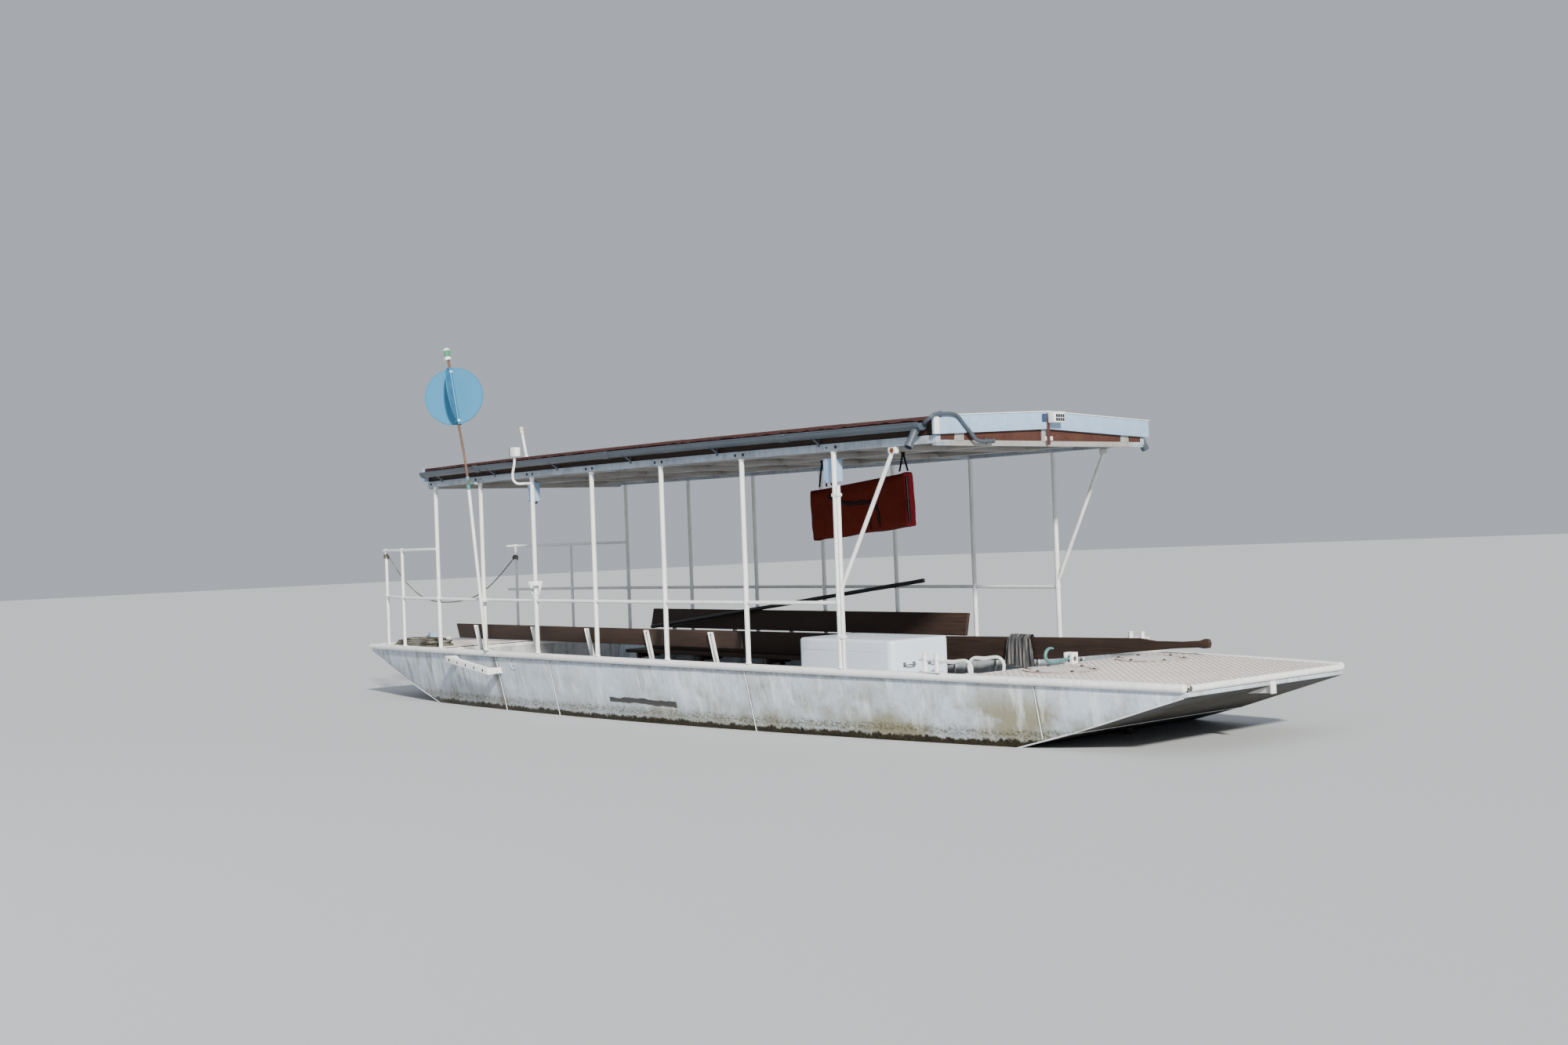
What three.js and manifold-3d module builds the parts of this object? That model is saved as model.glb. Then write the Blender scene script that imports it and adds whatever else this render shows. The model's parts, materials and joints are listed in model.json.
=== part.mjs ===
// Small passenger ferry: a flat-bottomed steel hull with raked ends, side benches,
// a low roof on tube posts over the passenger well, an inboard engine and a signal mast.
// Millimetres. X runs along the hull towards the engine end, Z up from the flat bottom,
// and the origin is amidships. The bow, with the boarding gate, is at -X, so port is -Y.

import * as THREE from "three";
import { mergeVertices } from "three/addons/utils/BufferGeometryUtils.js";
import Module from "manifold-3d";

const wasm = await Module();
wasm.setup();

// Driving dimensions of the hull
const HALF_LENGTH = 5750;
const HALF_BEAM = 1434; // at the gunwale amidships
const PLAN_TAPER = 466; // half beam lost at each end
const DATUM = 900; // foot of the posts amidships above the flat bottom
const GUNWALE_R = 30;
const SHEER_DROP = 40; // gunwale lower at the ends than amidships
const FLARE = 0.22; // side plate leans out by this much per unit of height
const WALL = 40; // side plate with its frames
const HULL_END = 5740;
const GAP = 0.3; // between pieces that touch

// Passenger well and decks
const FLOOR = { x: [-3700, 3840], z: [270, 300] };
const BOW_DECK_END = -3740;
const STERN_DECK_START = 3980;
const DECK_TIP = 5735;
const DECK_THICK = 12;
const DECK_INNER_TOP = 875;
const DECK_OUTER_TOP = 842;

// Roof and rails
const POST_X = [-3640, -2570, -1510, -460, 600, 1670, 2730];
const POST_R = 21;
const POST_TOP = 2600;
const RAIL = { z: 1404, r: 16 };
const GATE_RAIL_Z = 1935;
const ROOF_HALF = 3780;
const ROOF_OVERHANG = 45; // roof edge outside the line of the posts
const BEAM_TOP = 2660;
const EAVE_TOP = 2795;
const RIDGE_RISE = 55;
const SHEET_THICK = 30;

const SIDES = [
  // name, sign of Y
  ["port", -1],
  ["starboard", 1],
];

// Curves of the hull
const halfWidth = (x) => HALF_BEAM - PLAN_TAPER * (x / HALF_LENGTH) ** 2;
const sheer = (x) => DATUM - GUNWALE_R - 3 - SHEER_DROP * (x / HALF_LENGTH) ** 2;
const gunwaleTop = (x) => sheer(x) + GUNWALE_R + GAP;
const outerHalf = (x, z) => halfWidth(x) - FLARE * (sheer(x) - z);
const innerHalf = (x, z) => outerHalf(x, z) - WALL;

const BOTTOM_PROFILE = [
  // distance from amidships, height; both ends are alike
  [0, 0],
  [3050, 0],
  [4800, 472],
  [HULL_END, 768],
];
const HULL_STATIONS = [
  -HULL_END, -5300, -4800, -3900, -3050, -2000, -1000, 0, 1000, 2000, 3050, 3900, 4800, 5300,
  HULL_END,
];

function along(table, value) {
  const i = Math.max(table.findIndex(([to]) => value <= to), 1);
  const [[x0, y0], [x1, y1]] = [table[i - 1], table[i]];
  return y0 + ((y1 - y0) * (value - x0)) / (x1 - x0);
}
const bottomAt = (x) => along(BOTTOM_PROFILE, Math.min(Math.abs(x), HULL_END));

// Solids
function toManifold(geometry) {
  const bare = geometry.clone();
  bare.deleteAttribute("normal");
  bare.deleteAttribute("uv");
  const merged = mergeVertices(bare, 1e-3);
  return new wasm.Manifold(
    new wasm.Mesh({
      numProp: 3,
      vertProperties: new Float32Array(merged.attributes.position.array),
      triVerts: new Uint32Array(merged.index.array),
    }),
  );
}

function toGeometry(manifold) {
  const m = manifold.getMesh();
  const position = new Float32Array(m.numVert * 3);
  for (let i = 0; i < m.numVert; i++) {
    position.set(m.vertProperties.subarray(i * m.numProp, i * m.numProp + 3), i * 3);
  }
  const geometry = new THREE.BufferGeometry();
  geometry.setAttribute("position", new THREE.BufferAttribute(position, 3));
  geometry.setIndex(new THREE.BufferAttribute(new Uint32Array(m.triVerts), 1));
  const flat = geometry.toNonIndexed();
  flat.computeVertexNormals();
  return flat;
}

const union = (...pieces) =>
  toGeometry(pieces.map(toManifold).reduce((sum, piece) => sum.add(piece)));

const cut = (body, ...tools) =>
  toGeometry(tools.map(toManifold).reduce((rest, tool) => rest.subtract(tool), toManifold(body)));

const range = (from, to, steps) =>
  Array.from({ length: steps + 1 }, (_, i) => from + ((to - from) * i) / steps);

const ordered = (a, b) => [Math.min(a, b), Math.max(a, b)];

// A solid through closed outlines of [y, z], one at each x station
function loft(stations, outlineAt) {
  const rings = stations.map((x) => outlineAt(x).map(([y, z]) => new THREE.Vector2(y, z)));
  if (THREE.ShapeUtils.area(rings[0]) < 0) rings.forEach((ring) => ring.reverse());
  const n = rings[0].length;
  const position = rings.flatMap((ring, i) => ring.flatMap((p) => [stations[i], p.x, p.y]));
  const index = [];
  for (let i = 0; i + 1 < rings.length; i++) {
    for (let j = 0; j < n; j++) {
      const a = i * n + j;
      const b = i * n + ((j + 1) % n);
      index.push(a, b, a + n, b, b + n, a + n);
    }
  }
  const last = (rings.length - 1) * n;
  THREE.ShapeUtils.triangulateShape(rings[0], []).forEach(([a, b, c]) => index.push(c, b, a));
  THREE.ShapeUtils.triangulateShape(rings.at(-1), []).forEach(([a, b, c]) =>
    index.push(last + a, last + b, last + c),
  );
  const geometry = new THREE.BufferGeometry();
  geometry.setAttribute("position", new THREE.Float32BufferAttribute(position, 3));
  geometry.setIndex(index);
  return geometry;
}

const circle = (cy, cz, r, sides = 10) =>
  range(0, 2 * Math.PI, sides)
    .slice(0, sides)
    .map((a) => [cy + r * Math.cos(a), cz + r * Math.sin(a)]);

const rectangle = (y0, y1, z0, z1) => [
  [y0, z0],
  [y1, z0],
  [y1, z1],
  [y0, z1],
];

function box([x0, x1], [y0, y1], [z0, z1]) {
  const geometry = new THREE.BoxGeometry(x1 - x0, y1 - y0, z1 - z0);
  return geometry.translate((x0 + x1) / 2, (y0 + y1) / 2, (z0 + z1) / 2);
}

const vector = (p) => new THREE.Vector3(...p);
const UP = new THREE.Vector3(0, 1, 0);

function rod(from, to, radius, sides = 10) {
  const [a, b] = [vector(from), vector(to)];
  const middle = a.clone().add(b).multiplyScalar(0.5);
  const turn = new THREE.Quaternion().setFromUnitVectors(UP, b.clone().sub(a).normalize());
  return new THREE.CylinderGeometry(radius, radius, a.distanceTo(b), sides)
    .applyQuaternion(turn)
    .translate(middle.x, middle.y, middle.z);
}

// A round tube along a smooth line through the points
function sweep(points, radius, steps, sides = 10) {
  const extrudePath = new THREE.CatmullRomCurve3(points.map(vector), false, "centripetal");
  const section = new THREE.Shape(
    circle(0, 0, radius, sides).map(([u, v]) => new THREE.Vector2(u, v)),
  );
  return new THREE.ExtrudeGeometry(section, { steps, extrudePath, bevelEnabled: false });
}

// A flat outline of [x, z] or [x, y] given a thickness along the third axis
function slab(outline, axis, from, to) {
  const shape = new THREE.Shape(outline.map(([u, v]) => new THREE.Vector2(u, v)));
  const geometry = new THREE.ExtrudeGeometry(shape, { depth: to - from, bevelEnabled: false });
  return axis === "z"
    ? geometry.translate(0, 0, from)
    : geometry.rotateX(Math.PI / 2).translate(0, to, 0);
}

// Assembly
const ferry = new THREE.Group();

const PAINT = {
  // name: colour, roughness, metalness
  hull: [0xb9c4cc, 0.55, 0.1],
  white: [0xe9ecee, 0.45, 0.05],
  deck: [0xd9d4cf, 0.6, 0.1],
  floor: [0x6d6a63, 0.8, 0.1],
  wood: [0x33241c, 0.75, 0],
  gelcoat: [0xe6ebf2, 0.35, 0],
  engine: [0x3c4a44, 0.6, 0.4],
  bronze: [0xa9803f, 0.4, 0.9],
  steel: [0x8b9299, 0.5, 0.7],
  teal: [0x6fb3a6, 0.5, 0.1],
  roof: [0x4a2f28, 0.85, 0],
  blue: [0xa9c3da, 0.5, 0.05],
  gutter: [0x7c8a98, 0.5, 0],
  sign: [0x3f8fb8, 0.5, 0],
  lamp: [0xdfe6dc, 0.3, 0],
  red: [0x6d1d16, 0.85, 0],
  rope: [0x5a5245, 0.95, 0],
  cloth: [0x6f7074, 0.95, 0],
  black: [0x17181a, 0.6, 0.1],
};

function add(name, paint, geometry) {
  const [color, roughness, metalness] = PAINT[paint];
  const material = new THREE.MeshStandardMaterial({ color, roughness, metalness });
  const mesh = new THREE.Mesh(geometry, material);
  mesh.name = name;
  ferry.add(mesh);
  return mesh;
}

// Hull tub: the outer skin less the inside, with bearers for the floor
const trapezoid = (narrow, wide, low, high) => [
  [-narrow, low],
  [narrow, low],
  [wide, high],
  [-wide, high],
];
const hullOutline = (grow) => (x) => {
  const [low, high] = [bottomAt(x) - grow, sheer(x) - GUNWALE_R - GAP + grow];
  return trapezoid(outerHalf(x, low) + grow, outerHalf(x, high) + grow, low, high);
};
const insideOutline = (x) => {
  const [low, high] = [bottomAt(x) + WALL, DATUM + 50];
  return trapezoid(innerHalf(x, low), innerHalf(x, high), low, high);
};
const INSIDE_END = 5600;
const BEARER = { x: [-3030, 3030], y: [-800, 0, 800], half: 30 };
const insideStations = [-INSIDE_END, ...HULL_STATIONS.slice(1, -1), INSIDE_END];
const hullTub = cut(loft(HULL_STATIONS, hullOutline(0)), loft(insideStations, insideOutline));
const bearers = BEARER.y.map((y) =>
  box(BEARER.x, [y - BEARER.half, y + BEARER.half], [WALL / 2, FLOOR.z[0] - GAP]),
);
add("hull", "hull", union(hullTub, ...bearers));
const hullGrown = loft(HULL_STATIONS, hullOutline(GAP));

for (const [side, s] of SIDES) {
  const tube = (x) => circle(s * halfWidth(x), sheer(x), GUNWALE_R);
  add("gunwale_" + side, "white", loft(range(-DECK_TIP, DECK_TIP, 16), tube));
}

// Floor and bulkheads of the passenger well
const EDGE_GAP = 10;
const floorOutline = (x) => {
  const w = innerHalf(x, FLOOR.z[0]) - EDGE_GAP;
  return rectangle(-w, w, ...FLOOR.z);
};
add("floor", "floor", loft(range(...FLOOR.x, 8), floorOutline));

const BULKHEAD_THICK = 20;
const BULKHEADS = [
  // name, lower x
  ["bulkhead_bow", BOW_DECK_END - BULKHEAD_THICK - 5],
  ["bulkhead_stern", STERN_DECK_START + 5],
];
for (const [name, from] of BULKHEADS) {
  const to = from + BULKHEAD_THICK;
  const low = Math.max(bottomAt(from), bottomAt(to)) + WALL + 1;
  const high = DECK_INNER_TOP - DECK_THICK - 2;
  const widths = [low, high].map((z) => Math.min(innerHalf(from, z), innerHalf(to, z)) - EDGE_GAP);
  add(name, "hull", loft([from, to], () => trapezoid(...widths, low, high)));
}

// End decks: a plate between the gunwales with a round bar along its end
const END_BAR = { r: 24, z: 824 };
const DECK_SLOPE = (DECK_INNER_TOP - DECK_OUTER_TOP) / (DECK_TIP - STERN_DECK_START);
const deckHalf = (x) => halfWidth(x) - GUNWALE_R - 4;
const DECKS = [
  // name, inner edge, tip
  ["bow_deck", BOW_DECK_END, -DECK_TIP],
  ["stern_deck", STERN_DECK_START, DECK_TIP],
];
for (const [name, inner, tip] of DECKS) {
  const topAt = (x) => DECK_INNER_TOP - DECK_SLOPE * Math.abs(x - inner);
  const plateOutline = (x) => rectangle(-deckHalf(x), deckHalf(x), topAt(x) - DECK_THICK, topAt(x));
  const deckPlate = loft(range(...ordered(inner, tip), 5), plateOutline);
  const barEnd = deckHalf(tip) - 4;
  const bar = rod([tip, -barEnd, END_BAR.z], [tip, barEnd, END_BAR.z], END_BAR.r, 12);
  add(name, "deck", cut(union(deckPlate, bar), hullGrown));
}
const sternDeckTop = (x) => DECK_INNER_TOP - DECK_SLOPE * (x - STERN_DECK_START);

// Round bolted covers in the stern deck
const COVER = { x: 4300, y: 555, r: 280, thick: 10 };
for (const [side, s] of SIDES) {
  const disc = new THREE.CylinderGeometry(COVER.r, COVER.r, COVER.thick, 24);
  const cover = add("deck_cover_" + side, "deck", disc.rotateX(Math.PI / 2));
  cover.position.set(COVER.x, s * COVER.y, sternDeckTop(COVER.x) + COVER.thick / 2 + GAP);
  cover.rotation.y = Math.atan(DECK_SLOPE);
}

// Benches: a seat board on legs, leaning channel bars joined by a low rail, and a back board
const SEAT = { x: [-3200, 1620], y: [850, 1190], top: 730, thick: 40 };
const LEG = { x: [-3000, -1880, -760, 360, 1420], y: [880, 1100], half: 20 };
const BAR_X = [-2810, -1740, -810, 130, 1060];
const BAR = { half: 24, deep: 24, low: [1218, 690], high: [1318, 1140], wall: 5 };
const BACK = { thick: 35, ends: { port: [-3220, 1410], starboard: [-3200, 1690] } };
const BACK_EDGES = { port: [1000, 1150], starboard: [955, 1165] };
const LEAN = (BAR.high[0] - BAR.low[0]) / (BAR.high[1] - BAR.low[1]);
const barFace = (z) => BAR.low[0] - BAR.deep + LEAN * (z - BAR.low[1]);
for (const [side, s] of SIDES) {
  const seat = box(SEAT.x, ordered(s * SEAT.y[0], s * SEAT.y[1]), [SEAT.top - SEAT.thick, SEAT.top]);
  const legs = LEG.x.map((x) =>
    box(
      [x - LEG.half, x + LEG.half],
      ordered(s * LEG.y[0], s * LEG.y[1]),
      [FLOOR.z[1] + GAP, SEAT.top - SEAT.thick / 2],
    ),
  );
  add("bench_" + side, "wood", union(seat, ...legs));

  const joiner = box(
    [BAR_X[0], BAR_X.at(-1)],
    ordered(s * (SEAT.y[1] + GAP), s * (SEAT.y[1] + 18)),
    [SEAT.top - SEAT.thick + 3, SEAT.top - 3],
  );
  const leaning = (inset, past) => () => [
    [s * (BAR.low[0] - BAR.deep + inset), BAR.low[1]],
    [s * (BAR.low[0] + past), BAR.low[1]],
    [s * (BAR.high[0] + past), BAR.high[1]],
    [s * (BAR.high[0] - BAR.deep + inset), BAR.high[1]],
  ];
  const barAt = (x) => {
    const channel = BAR.half - BAR.wall;
    return cut(
      loft([x - BAR.half, x + BAR.half], leaning(0, 0)),
      loft([x - channel, x + channel], leaning(BAR.wall, 30)),
    );
  };
  add("bench_bars_" + side, "white", union(joiner, ...BAR_X.map(barAt)));

  const [low, high] = BACK_EDGES[side];
  const face = (z) => s * (barFace(z) - GAP);
  const back = () => [
    [face(low), low],
    [face(high), high],
    [face(high) - s * BACK.thick, high],
    [face(low) - s * BACK.thick, low],
  ];
  add("back_board_" + side, "wood", loft(BACK.ends[side], back));
}

// A long board stowed on edge along the starboard seat, with a handle cut at its stern end
const BOARD = { y: [1030, 1065], low: SEAT.top + GAP };
const BOARD_TOP = [
  // x, z
  [-2950, 950],
  [1600, 962],
  [3817, 990],
];
const boardTop = (x) => along(BOARD_TOP, x);
const boardOutline = [
  // x, z
  [-2950, BOARD.low],
  [1620, BOARD.low],
  [2900, 790],
  [3960, 893],
  [4180, 914],
  [4405, 927],
  [4460, 921],
  [4510, 926],
  [4520, 960],
  [4508, 996],
  [4470, 999],
  [4420, 983],
  [4246, 972],
  [3990, 970],
  [3900, 980],
  ...BOARD_TOP.toReversed(),
];
add("long_board", "wood", slab(boardOutline, "y", ...BOARD.y));

// A pole laid from the board's edge up across the starboard rail
const POLE = { from: [-2950, 1048, 974.5], to: [980, 1419.5, 1463], r: 22 };
add("push_pole", "black", rod(POLE.from, POLE.to, POLE.r));

// Posts with their middle rail, which runs on forward beside the boarding gate
const GATE_LINE = [
  // x, |y| forward of the first post
  [-5600, 845],
  [-5470, 880],
  [-4635, 1130],
  [POST_X[0], halfWidth(POST_X[0])],
];
const GATE_POSTS = [
  // x, foot
  [-5470, sternDeckTop(STERN_DECK_START + 5470 + BOW_DECK_END) + GAP],
  [-4635, gunwaleTop(-4635)],
];
const BRACE = { low: [2745, 1480], high: [3345, POST_TOP + 20], r: 17 };
const DOUBLER = { x: 2765, r: 17, top: 2330 }; // second tube beside the last port post
for (const [side, s] of SIDES) {
  const upright = (x, top, r) => {
    const y = s * halfWidth(x);
    return rod([x, y, gunwaleTop(x)], [x, y, top], r);
  };
  const posts = POST_X.map((x) => upright(x, POST_TOP, POST_R));
  if (side === "port") posts.push(upright(DOUBLER.x, DOUBLER.top, DOUBLER.r));
  const midRail = loft(range(POST_X[0], POST_X.at(-1), 12), (x) =>
    circle(s * halfWidth(x), RAIL.z, RAIL.r),
  );
  const [[lowX, lowZ], [highX, highZ]] = [BRACE.low, BRACE.high];
  const brace = rod([lowX, s * halfWidth(lowX), lowZ], [highX, s * halfWidth(highX), highZ], BRACE.r);
  const flatTop = box([-4000, 4000], [-2000, 2000], [POST_TOP, POST_TOP + 100]);
  add("post_frame_" + side, "white", cut(union(...posts, midRail, brace), flatTop));

  const gateStations = [GATE_LINE[0][0], -5470, -4635, POST_X[0] - POST_R - GAP];
  const gateRail = (z) =>
    loft(gateStations, (x) => circle(s * along(GATE_LINE, x), z, RAIL.r));
  const gatePosts = GATE_POSTS.map(([x, foot]) => {
    const y = s * along(GATE_LINE, x);
    return rod([x, y, foot], [x, y, GATE_RAIL_Z], RAIL.r + 1);
  });
  add("gate_rail_" + side, "white", union(gateRail(RAIL.z), gateRail(GATE_RAIL_Z), ...gatePosts));
}

// Roof frame: curved side beams, cross beams at the posts, and three purlins under the sheet
const CROSS = { half: 20, z: [2606, 2650], endX: [-3755, 3755], endZ: [2582, 2624] };
const PURLIN = { y: [-1000, 0, 1000], half: 50, low: 2618 };
const roofEdge = (x) => halfWidth(x) + ROOF_OVERHANG;
const sheetTop = (x, y) => EAVE_TOP + RIDGE_RISE * (1 - Math.abs(y) / roofEdge(x));
const sheetUnder = (x, y) => sheetTop(x, y) - SHEET_THICK;
const roofStations = range(-ROOF_HALF, ROOF_HALF, 12);
const sideBeams = SIDES.map(([, s]) =>
  loft(roofStations, (x) =>
    rectangle(
      ...ordered(s * (halfWidth(x) - 25), s * (halfWidth(x) + 25)),
      POST_TOP + GAP,
      BEAM_TOP,
    ),
  ),
);
const crossBeam = (z) => (x) =>
  box([x - CROSS.half, x + CROSS.half], [-halfWidth(x), halfWidth(x)], z);
const crossBeams = [
  ...POST_X.map(crossBeam(CROSS.z)),
  ...CROSS.endX.map(crossBeam(CROSS.endZ)),
];
const endHangers = CROSS.endX.flatMap((x) =>
  SIDES.map(([, s]) =>
    box(
      [x - CROSS.half + 3, x + CROSS.half - 3],
      ordered(s * (halfWidth(x) - 20), s * (halfWidth(x) + 20)),
      [CROSS.endZ[0] + 2, BEAM_TOP - 5],
    ),
  ),
);
const purlins = PURLIN.y.map((y) =>
  loft(roofStations, (x) => {
    const [a, b] = [y - PURLIN.half, y + PURLIN.half];
    const top = Math.min(sheetUnder(x, a), sheetUnder(x, b)) - 2;
    return rectangle(a, b, PURLIN.low, top);
  }),
);
add("roof_frame", "white", union(...sideBeams, ...crossBeams, ...endHangers, ...purlins));

const gable = (x, edge, low, high) => [
  [-edge, low],
  [0, low + RIDGE_RISE],
  [edge, low],
  [edge, high],
  [0, high + RIDGE_RISE],
  [-edge, high],
];
add(
  "roof_sheet",
  "roof",
  loft(roofStations, (x) => gable(x, roofEdge(x), EAVE_TOP - SHEET_THICK, EAVE_TOP)),
);

const FASCIA = { thick: 25, low: 2662, high: 2800, past: 20 };
const FASCIAS = [
  // name, x ends
  ["fascia_bow", [-ROOF_HALF - FASCIA.thick - GAP, -ROOF_HALF - GAP]],
  ["fascia_stern", [ROOF_HALF + GAP, ROOF_HALF + FASCIA.thick + GAP]],
];
for (const [name, ends] of FASCIAS) {
  const edge = roofEdge(ROOF_HALF) + FASCIA.past;
  add(name, "blue", loft(ends, (x) => gable(x, edge, FASCIA.low, FASCIA.high)));
}

// Cable pipe from the port gutter's end over the edge of the stern fascia and down to the beam
const PIPE = { r: 14, x: ROOF_HALF + FASCIA.thick + 2 * GAP + 14 };
const PIPE_LINE = [
  // x, y, z
  [3740, -1334, 2751],
  [3775, -1345, 2764],
  [PIPE.x, -1340, 2790],
  [PIPE.x, -1300, 2810],
  [PIPE.x, -1230, 2815],
  [PIPE.x, -1110, 2816],
  [PIPE.x, -1055, 2800],
  [PIPE.x, -990, 2742],
  [PIPE.x, -900, 2660],
  [PIPE.x, -862, 2626],
  [PIPE.x, -820, 2614],
  [PIPE.x, -671, 2616],
];
add("cable_pipe", "gutter", sweep(PIPE_LINE, PIPE.r, 44, 10));

// Lamp at the peak of the stern fascia, on a flat bar that hangs in front of the beam
const PEAK = { lamp: [-10, 122], lampZ: [2764, 2850], far: 3885, bar: [-18, 14], barZ: [2590, 2840] };
const peakFace = ROOF_HALF + FASCIA.thick + 2 * GAP;
add(
  "peak_lamp",
  "white",
  union(
    box([peakFace, peakFace + 6], PEAK.bar, PEAK.barZ),
    box([peakFace + 3, PEAK.far], PEAK.lamp, PEAK.lampZ),
  ),
);

// Half-round gutters on straps, each with a spout at the stern end
const GUTTER = { r: 52, wall: 4, z: 2752, half: 3720, clear: 2, sides: 10 };
const STRAP = { x: [-3400, -2200, -1000, 200, 1400, 2600], half: 12, z: [2635, 2708] };
const SPOUT = { x: 3660, r: 30, out: 80, z: [2712, 2600] };
for (const [side, s] of SIDES) {
  const middle = (x) => roofEdge(x) + GUTTER.clear + GUTTER.r;
  const arc = (x, r) =>
    range(Math.PI, 2 * Math.PI, GUTTER.sides).map((a) => [
      s * middle(x) + r * Math.cos(a),
      GUTTER.z + r * Math.sin(a),
    ]);
  const channel = loft(range(-GUTTER.half, GUTTER.half, 12), (x) => [
    ...arc(x, GUTTER.r),
    ...arc(x, GUTTER.r - GUTTER.wall).reverse(),
  ]);
  const straps = STRAP.x.map((x) =>
    box(
      [x - STRAP.half, x + STRAP.half],
      ordered(s * (halfWidth(x) + 28), s * (middle(x) - 20)),
      STRAP.z,
    ),
  );
  const spoutY = middle(SPOUT.x);
  const spout = rod(
    [SPOUT.x, s * spoutY, SPOUT.z[0]],
    [SPOUT.x, s * (spoutY + SPOUT.out), SPOUT.z[1]],
    SPOUT.r,
  );
  add("gutter_" + side, "gutter", union(channel, spout, ...straps));
}

// Engine under its hood
const HOOD = { x: [1113, 2306], half: 353, z: [305, 1031], wall: 20, round: 60, crown: 28 };
function roundedBlock([x0, x1], half, [z0, z1], round, crown = 0) {
  const shape = new THREE.Shape();
  shape.moveTo(x0 + round, -half);
  shape.lineTo(x1 - round, -half);
  shape.absarc(x1 - round, -half + round, round, -Math.PI / 2, 0, false);
  shape.lineTo(x1, half - round);
  shape.absarc(x1 - round, half - round, round, 0, Math.PI / 2, false);
  shape.lineTo(x0 + round, half);
  shape.absarc(x0 + round, half - round, round, Math.PI / 2, Math.PI, false);
  shape.lineTo(x0, -half + round);
  shape.absarc(x0 + round, -half + round, round, Math.PI, 1.5 * Math.PI, false);
  const block = new THREE.ExtrudeGeometry(shape, {
    depth: z1 - z0 - crown,
    curveSegments: 5,
    bevelEnabled: crown > 0,
    bevelThickness: crown,
    bevelSize: crown,
    bevelOffset: -crown,
    bevelSegments: 4,
  });
  block.translate(0, 0, z0);
  return crown ? cut(block, box([x0 - 1, x1 + 1], [-half - 1, half + 1], [z0 - 2 * crown, z0])) : block;
}
const hoodInside = roundedBlock(
  [HOOD.x[0] + HOOD.wall, HOOD.x[1] - HOOD.wall],
  HOOD.half - HOOD.wall,
  [HOOD.z[0] - 10, HOOD.z[1] - HOOD.wall],
  HOOD.round - HOOD.wall,
);
const hoodShell = roundedBlock(HOOD.x, HOOD.half, HOOD.z, HOOD.round, HOOD.crown);
add("engine_hood", "gelcoat", cut(hoodShell, hoodInside));

const ENGINE = { x: [1300, 1960], y: [-190, 190], z: [345, 820] };
const ENGINE_BEARER_Y = [-170, 170];
add(
  "engine",
  "engine",
  union(
    box(ENGINE.x, ENGINE.y, ENGINE.z),
    ...ENGINE_BEARER_Y.map((y) =>
      box([1200, 2060], [y - 30, y + 30], [FLOOR.z[1] + GAP, ENGINE.z[0] + 10]),
    ),
  ),
);

// Moulded seat for the helmsman behind the hood: a shell on four legs with two looped arms
const HELM = { x: [2400, 2820], y: [60, 500], shell: [655, 700], leg: 22 };
const helmLegs = HELM.x.flatMap((x, i) =>
  HELM.y.map((y, j) => {
    const [cx, cy] = [x + (i ? -40 : 40), y + (j ? -40 : 40)];
    return rod([cx, cy, FLOOR.z[1] + GAP], [cx, cy, HELM.shell[0] + 20], HELM.leg, 8);
  }),
);
const helmArms = HELM.y.map((y, j) => {
  const cy = y + (j ? -18 : 18);
  return sweep(
    [
      [HELM.x[0] + 20, cy, 690],
      [HELM.x[0] + 8, cy, 770],
      [HELM.x[0] + 60, cy, 822],
      [2600, cy, 826],
      [HELM.x[1] - 60, cy, 838],
      [HELM.x[1] - 8, cy, 790],
      [HELM.x[1] - 20, cy, 690],
    ],
    14,
    24,
    8,
  );
});
add(
  "helm_seat",
  "white",
  union(box(HELM.x, HELM.y, HELM.shell), ...helmLegs, ...helmArms),
);

// Stern gear: tube with its strut, shaft, screw and rudder under the raked end
const SCREW = { x: 4200, z: 150, r: 130, hub: 34, hubHalf: 40, blades: 3 };
const SHAFT = { r: 17.5, slope: 0.077, from: 3790, to: 4250, clear: 1.5 };
const shaftZ = (x) => SCREW.z + SHAFT.slope * (SCREW.x - x);
const shaftPoint = (x) => [x, 0, shaftZ(x)];
const TUBE = { r: 32, from: 3600, to: 4110 };
const STRUT = { x: [3990, 4100], half: 8 };
const strut = box(STRUT.x, [-STRUT.half, STRUT.half], [shaftZ(4100) + 24, 330]);
const bore = rod(
  shaftPoint(SHAFT.from - 15),
  shaftPoint(SHAFT.to),
  SHAFT.r + SHAFT.clear,
  16,
);
const sternTube = union(rod(shaftPoint(TUBE.from), shaftPoint(TUBE.to), TUBE.r, 12), strut);
add("stern_tube", "hull", cut(sternTube, bore, hullGrown));
add("propeller_shaft", "steel", rod(shaftPoint(SHAFT.from), shaftPoint(SHAFT.to), SHAFT.r, 16));

const BLADE = { wide: 84, thick: 7, pitch: 0.6, root: 20 };
const blades = range(0, 2 * Math.PI, SCREW.blades)
  .slice(0, SCREW.blades)
  .map((turn) =>
    new THREE.CylinderGeometry(BLADE.wide / 2, BLADE.wide / 2, BLADE.thick, 14)
      .scale(1, 1, (SCREW.r - BLADE.root) / BLADE.wide)
      .translate(0, 0, (SCREW.r + BLADE.root) / 2)
      .rotateX(0)
      .rotateZ(BLADE.pitch)
      .rotateX(turn),
  );
const hub = rod([-SCREW.hubHalf, 0, 0], [SCREW.hubHalf, 0, 0], SCREW.hub, 16);
const screwTilt = Math.atan(SHAFT.slope);
const screwSolid = union(hub, ...blades)
  .rotateY(screwTilt)
  .translate(SCREW.x, 0, SCREW.z);
const shaftGrown = rod(shaftPoint(SHAFT.from), shaftPoint(SHAFT.to + 30), SHAFT.r + GAP, 16);
add("propeller", "bronze", cut(screwSolid, shaftGrown));

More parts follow.
